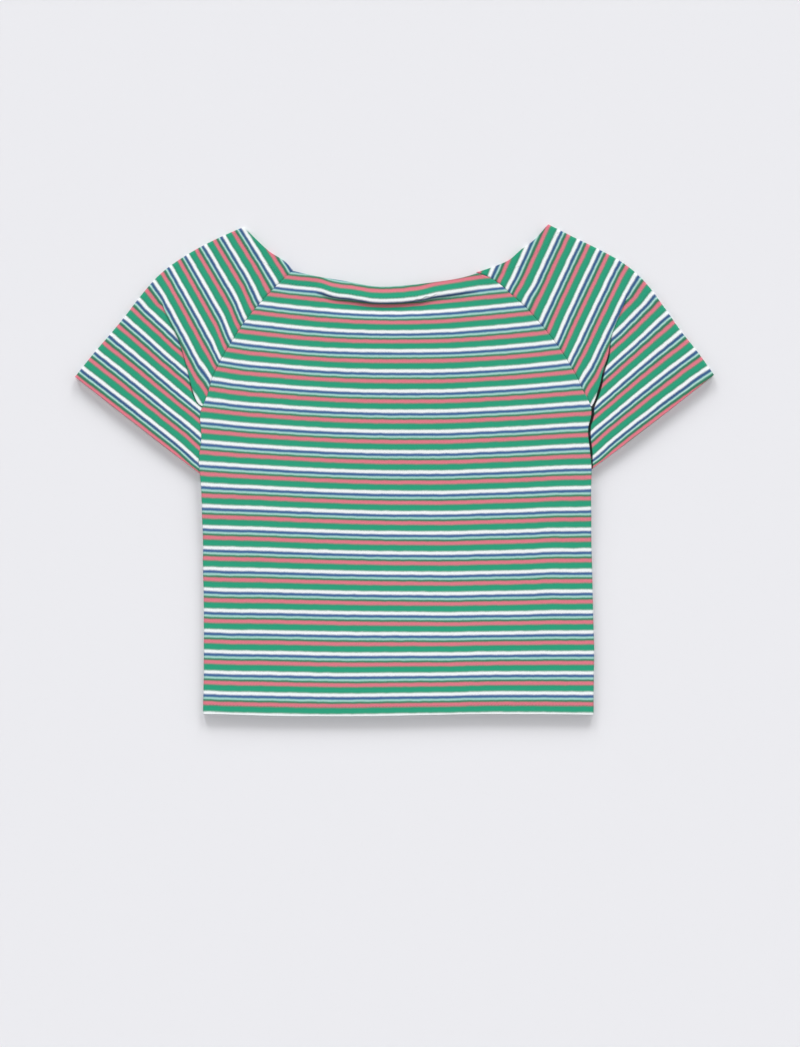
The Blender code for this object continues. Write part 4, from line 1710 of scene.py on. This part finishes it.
    def sheet(self) -> ClothSheet:
        """Lay out the whole sleeve: front layer, top fold, back layer."""
        front = self.front_plan()
        stack = PlyStack(self.cut)
        plan, drop = front["plan"], front["drop"]
        lift = stack.lift(plan)
        high = FRONT_LEVEL + FRONT_TOP_RISE * lift
        low = FRONT_LEVEL + FRONT_LOW_RISE * lift
        dip = SEAM_DIP * (1 - ease(front["seam"] / SEAM_DIP_WIDTH))
        upper = high + (low - high) * drop - dip
        lower = BACK_LEVEL + BACK_LOW_RISE * lift * drop + dip
        middle, radius = (upper[0] + lower[0]) / 2, (upper[0] - lower[0]) / 2
        layers = [np.concatenate([plan, height[..., None]], axis=-1) for height in (upper, lower)]
        bend = []
        for step in range(1, self.fold_steps):
            angle = math.pi * step / self.fold_steps
            over = plan[0] + front["out"] * (radius * math.sin(angle))[:, None]
            bend.append(np.concatenate([over, (middle + radius * math.cos(angle))[:, None]], axis=-1))
        points = np.concatenate([layers[0][::-1], np.array(bend), layers[1]])

        def folded(above: Array, below: Array) -> Array:
            round_fold = np.repeat(below[:1], self.fold_steps - 1, axis=0)
            return np.concatenate([above[::-1], round_fold, below])

        extra = front["extra"] * (1 - lift) * CLOTH
        # Painted shade in the tuck's mouth, only on the cloth past the pleat's middle
        plain = no_painted_shade(drop.shape)
        mouth = tuck_map(self.cut.tuck, self.cut.mirror, plan)
        mouth = np.where((front["part"] > 0.5)[..., None], mouth, plain)
        return ClothSheet(points, folded(extra, extra), folded(front["map"], front["map"]),
                          self.cut.mirror, folded(mouth, plain))


# ---- Stitches ----


@dataclass
class StitchLine:
    """Lines of lockstitch laid along paths by Geometry Nodes."""

    name: str
    paths: list[Array]
    stitch: float = 2.5
    gap: float = 0.7
    thread: float = 0.26
    seed: int = 11

    def tree(self, material: Material) -> Tree:
        """Build the tree that repeats one stitch along the paths, with its sizes as inputs."""
        tree = bpy.data.node_groups.new(self.name + "_tree", "GeometryNodeTree")
        face = tree.interface
        face.new_socket("Paths", in_out="INPUT", socket_type="NodeSocketGeometry")
        for label in ("Pitch", "Stitch Length", "Thread Width"):
            face.new_socket(label, in_out="INPUT", socket_type="NodeSocketFloat")
        face.new_socket("Seed", in_out="INPUT", socket_type="NodeSocketInt")
        face.new_socket("Stitches", in_out="OUTPUT", socket_type="NodeSocketGeometry")
        given = add_node(tree, "NodeGroupInput").outputs
        curve = add_node(tree, "GeometryNodeMeshToCurve", {0: given["Paths"]})
        spaced = add_node(tree, "GeometryNodeResampleCurve", {
            "Curve": curve.outputs[0], "Length": given["Pitch"]}, mode="LENGTH")
        ball = add_node(tree, "GeometryNodeMeshUVSphere", {"Segments": 6, "Rings": 4, "Radius": 0.5})
        size = add_node(tree, "ShaderNodeCombineXYZ", {
            "X": given["Stitch Length"], "Y": given["Thread Width"], "Z": given["Thread Width"]})
        shaped = add_node(tree, "GeometryNodeTransform", {
            "Geometry": ball.outputs[0], "Scale": size.outputs[0]})
        tangent = add_node(tree, "GeometryNodeInputTangent")
        aligned = add_node(tree, "FunctionNodeAlignRotationToVector", {
            "Vector": tangent.outputs[0]}, axis="X")
        uneven = add_node(tree, "FunctionNodeRandomValue", {
            2: 0.9, 3: 1.08, "Seed": given["Seed"]}, data_type="FLOAT")
        placed = add_node(tree, "GeometryNodeInstanceOnPoints", {
            "Points": spaced.outputs[0], "Instance": shaped.outputs[0],
            "Rotation": aligned.outputs[0], "Scale": uneven.outputs[1]})
        real = add_node(tree, "GeometryNodeRealizeInstances", {0: placed.outputs[0]})
        dressed = add_node(tree, "GeometryNodeSetMaterial", {
            "Geometry": real.outputs[0], "Material": material})
        add_node(tree, "NodeGroupOutput", {0: dressed.outputs[0]})
        return tree

    def make(self, material: Material, shift: Array) -> Object:
        """Sew the lines.

        Args:
            material: the thread's finish.
            shift: millimetres from plan points to the frame.

        Returns:
            The stitches as one plain mesh object at the origin.
        """
        verts: list[tuple[float, ...]] = []
        edges: list[tuple[int, int]] = []
        for path in self.paths:
            first = len(verts)
            verts += [tuple(point) for point in ((path + shift) * MM).tolist()]
            edges += [(k, k + 1) for k in range(first, len(verts) - 1)]
        mesh = bpy.data.meshes.new(self.name + "_paths")
        mesh.from_pydata(verts, edges, [])
        piece = add_object(self.name, mesh)
        modifier = piece.modifiers.new("stitches", "NODES")
        modifier.node_group = self.tree(material)
        sizes = {"Pitch": (self.stitch + self.gap) * MM, "Stitch Length": self.stitch * MM,
                 "Thread Width": self.thread * MM, "Seed": self.seed}
        for socket in modifier.node_group.interface.items_tree:
            if socket.name in sizes:
                modifier[socket.identifier] = sizes[socket.name]
        depsgraph = bpy.context.evaluated_depsgraph_get()
        result = bpy.data.meshes.new_from_object(piece.evaluated_get(depsgraph), depsgraph=depsgraph)
        piece.modifiers.remove(modifier)
        result.name = self.name
        piece.data = result
        bpy.data.meshes.remove(mesh)
        result.shade_smooth()
        return piece


# ---- Studio ----


class Lit(Enum):
    """What a studio light falls on."""

    FLOOR = "floor"
    CLOTH = "cloth"


class StudioLight(NamedTuple):
    """One broad studio light, so far off that it falls evenly.

    heading is its plan direction from the top, in degrees from beyond the
    neck towards the wearer's left, and spread the angle it fills. power is
    what it gives a level surface, where 1 shows white as white.
    """

    name: str
    lit: Lit
    heading: float
    elevation: float
    spread: float
    power: float


def pair_of(name: str, lit: Lit, heading: float, *rest: float) -> tuple[StudioLight, StudioLight]:
    """The same light from the left and from the right."""
    return (StudioLight(name + "_left", lit, heading, *rest),
            StudioLight(name + "_right", lit, -heading, *rest))


@dataclass(frozen=True)
class Studio:
    """The floor, the light and the camera straight above the laid top."""

    view_middle: Point = (2.4, 180.0)
    view_height: float = 994.65
    camera_height: float = 3200.0
    sensor: float = 36.0
    clip_end: float = 100.0
    floor_half: float = 4.0
    floor_depth: float = 0.05
    lights: tuple[StudioLight, ...] = (
        *pair_of("low", Lit.FLOOR, 17, 13.8, 16.5, 0.204),
        *pair_of("side", Lit.FLOOR, 64, 15, 25, 0.078),
        *pair_of("under", Lit.FLOOR, 120, 22, 45, 0.055),
        StudioLight("above_floor", Lit.FLOOR, 0, 88, 39, 0.32),
        *pair_of("key", Lit.CLOTH, 24, 40, 24, 0.27),
        StudioLight("above_cloth", Lit.CLOTH, 0, 88, 90, 0.46),
    )
    backdrop: str = "#ECECF0"
    bounce: float = 0.03

    def make_floor(self) -> Object:
        """Lay a plain pale floor just under the cloth."""
        mesh = bpy.data.meshes.new("floor")
        half, depth = self.floor_half, -self.floor_depth * MM
        mesh.from_pydata([(-half, -half, depth), (half, -half, depth), (half, half, depth),
                          (-half, half, depth)], [], [(0, 1, 2, 3)])
        mesh.materials.append(StudioPaper().make())
        floor = add_object("floor", mesh)
        return floor

    def make_lights(self, floor: Object, pieces: list[Object]) -> None:
        """Hang the lights for the floor and the cloth, and show a plain backdrop past the floor."""
        lit = {Lit.FLOOR: [floor], Lit.CLOTH: pieces}
        world = bpy.data.worlds.new("studio")
        world.use_nodes = True
        tree = world.node_tree
        tree.nodes.clear()
        seen = add_node(tree, "ShaderNodeBackground", {"Color": srgb(self.backdrop)})
        felt = add_node(tree, "ShaderNodeBackground", {"Strength": self.bounce})
        path = add_node(tree, "ShaderNodeLightPath")
        both = add_node(tree, "ShaderNodeMixShader", {
            0: path.outputs["Is Camera Ray"], 1: felt.outputs[0], 2: seen.outputs[0]})
        add_node(tree, "ShaderNodeOutputWorld", {"Surface": both.outputs[0]})
        bpy.context.scene.world = world
        for given in self.lights:
            light = bpy.data.lights.new(given.name, "SUN")
            light.angle = math.radians(given.spread)
            light.energy = math.pi * given.power / math.sin(math.radians(given.elevation))
            lamp = add_object(given.name, light)
            lamp.rotation_euler = (math.radians(given.elevation - 90), 0.0, -math.radians(given.heading))
            receivers = bpy.data.collections.new(given.name + "_lit")
            for piece in lit[given.lit]:
                receivers.objects.link(piece)
            lamp.light_linking.receiver_collection = receivers

    def make_camera(self, shift: Array) -> None:
        """Set a long lens straight above the middle of the view, after the shift to the frame."""
        middle = (np.array(self.view_middle) + shift[:2]) * MM
        data = bpy.data.cameras.new("camera")
        data.sensor_width = self.sensor
        data.lens = self.sensor * self.camera_height / self.view_height
        data.clip_end = self.clip_end
        camera = add_object("camera", data)
        camera.location = (middle[0], middle[1], self.camera_height * MM)
        bpy.context.scene.camera = camera


# ---- The whole top ----


@dataclass
class CropTop:
    """Both panels, both sleeves and their stitches."""

    shift: Array
    courses: BodyCourses = field(default_factory=BodyCourses)
    pieces: dict[str, Object] = field(default_factory=dict)

    def own(self, piece: Object) -> None:
        """Fix a piece to the body and report its faces."""
        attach(piece, "root")
        LOG.info("%s: %d faces", piece.name, len(piece.data.polygons))

    def sew(self, node: str, paths: list[Array], thread: Material) -> Object:
        """Sew the turned edges of the cloth piece that stands for a node."""
        stitches = StitchLine(node + "_stitches", paths).make(thread, self.shift)
        self.own(stitches)
        return stitches

    def dress(self, node: str, sheet: ClothSheet, jersey: Material) -> Object:
        """Make the cloth piece that stands for a node."""
        piece = sheet.shell(node + "_cloth", jersey, self.shift)
        self.own(piece)
        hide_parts(node)
        self.pieces[node] = piece
        return piece

    def make(self) -> None:
        jersey, thread = StripedJersey().make(), SewingThread().make()
        # The sleeves' copy of the jersey paints shade on them with its darker forest and blue
        shaded_sleeve_jersey = StripedJersey("striped_cotton_jersey_sleeve", SLEEVE_REPEAT, 0.42).make()
        stacks = (PlyStack(RIGHT_CUT), PlyStack(LEFT_CUT))
        back = BodyPanel("back_body", Face.BACK, self.courses, stacks, neck_drop=3.0,
                         creases=BACK_CREASES, row_step=7.0, middle_columns=60)
        front = BodyPanel("front_body", Face.FRONT, self.courses, stacks, creases=FRONT_CREASES)
        sleeves = (RaglanSleeve(cut, self.courses) for cut in (RIGHT_CUT, LEFT_CUT))
        for part in (back, front, *sleeves):
            sheet = part.sheet()
            finish = jersey if isinstance(part, BodyPanel) else shaded_sleeve_jersey
            piece = self.dress(part.node, sheet, finish)
            stitches = self.sew(part.node, part.seams(sheet), thread)


# The body's solid reaches from -188.0 to 185.6 across, so its middle lies aside by this much
BODY_ASIDE = 1.2


def main() -> None:
    """Build the studio and the top, and log the shift from plan to frame."""
    logging.basicConfig(level=logging.INFO, format="%(name)s %(message)s")
    low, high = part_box("front_body")
    shift = np.array([(low.x + high.x) / 2 / MM + BODY_ASIDE, low.y / MM, 0.0])
    LOG.info("plan to frame: %.2f, %.2f mm", shift[0], shift[1])
    studio = Studio()
    studio.make_camera(shift)
    floor = studio.make_floor()
    top = CropTop(shift)
    top.make()
    studio.make_lights(floor, list(top.pieces.values()))
    bpy.context.scene.view_settings.view_transform = "Standard"


if __name__ == "__main__":
    main()
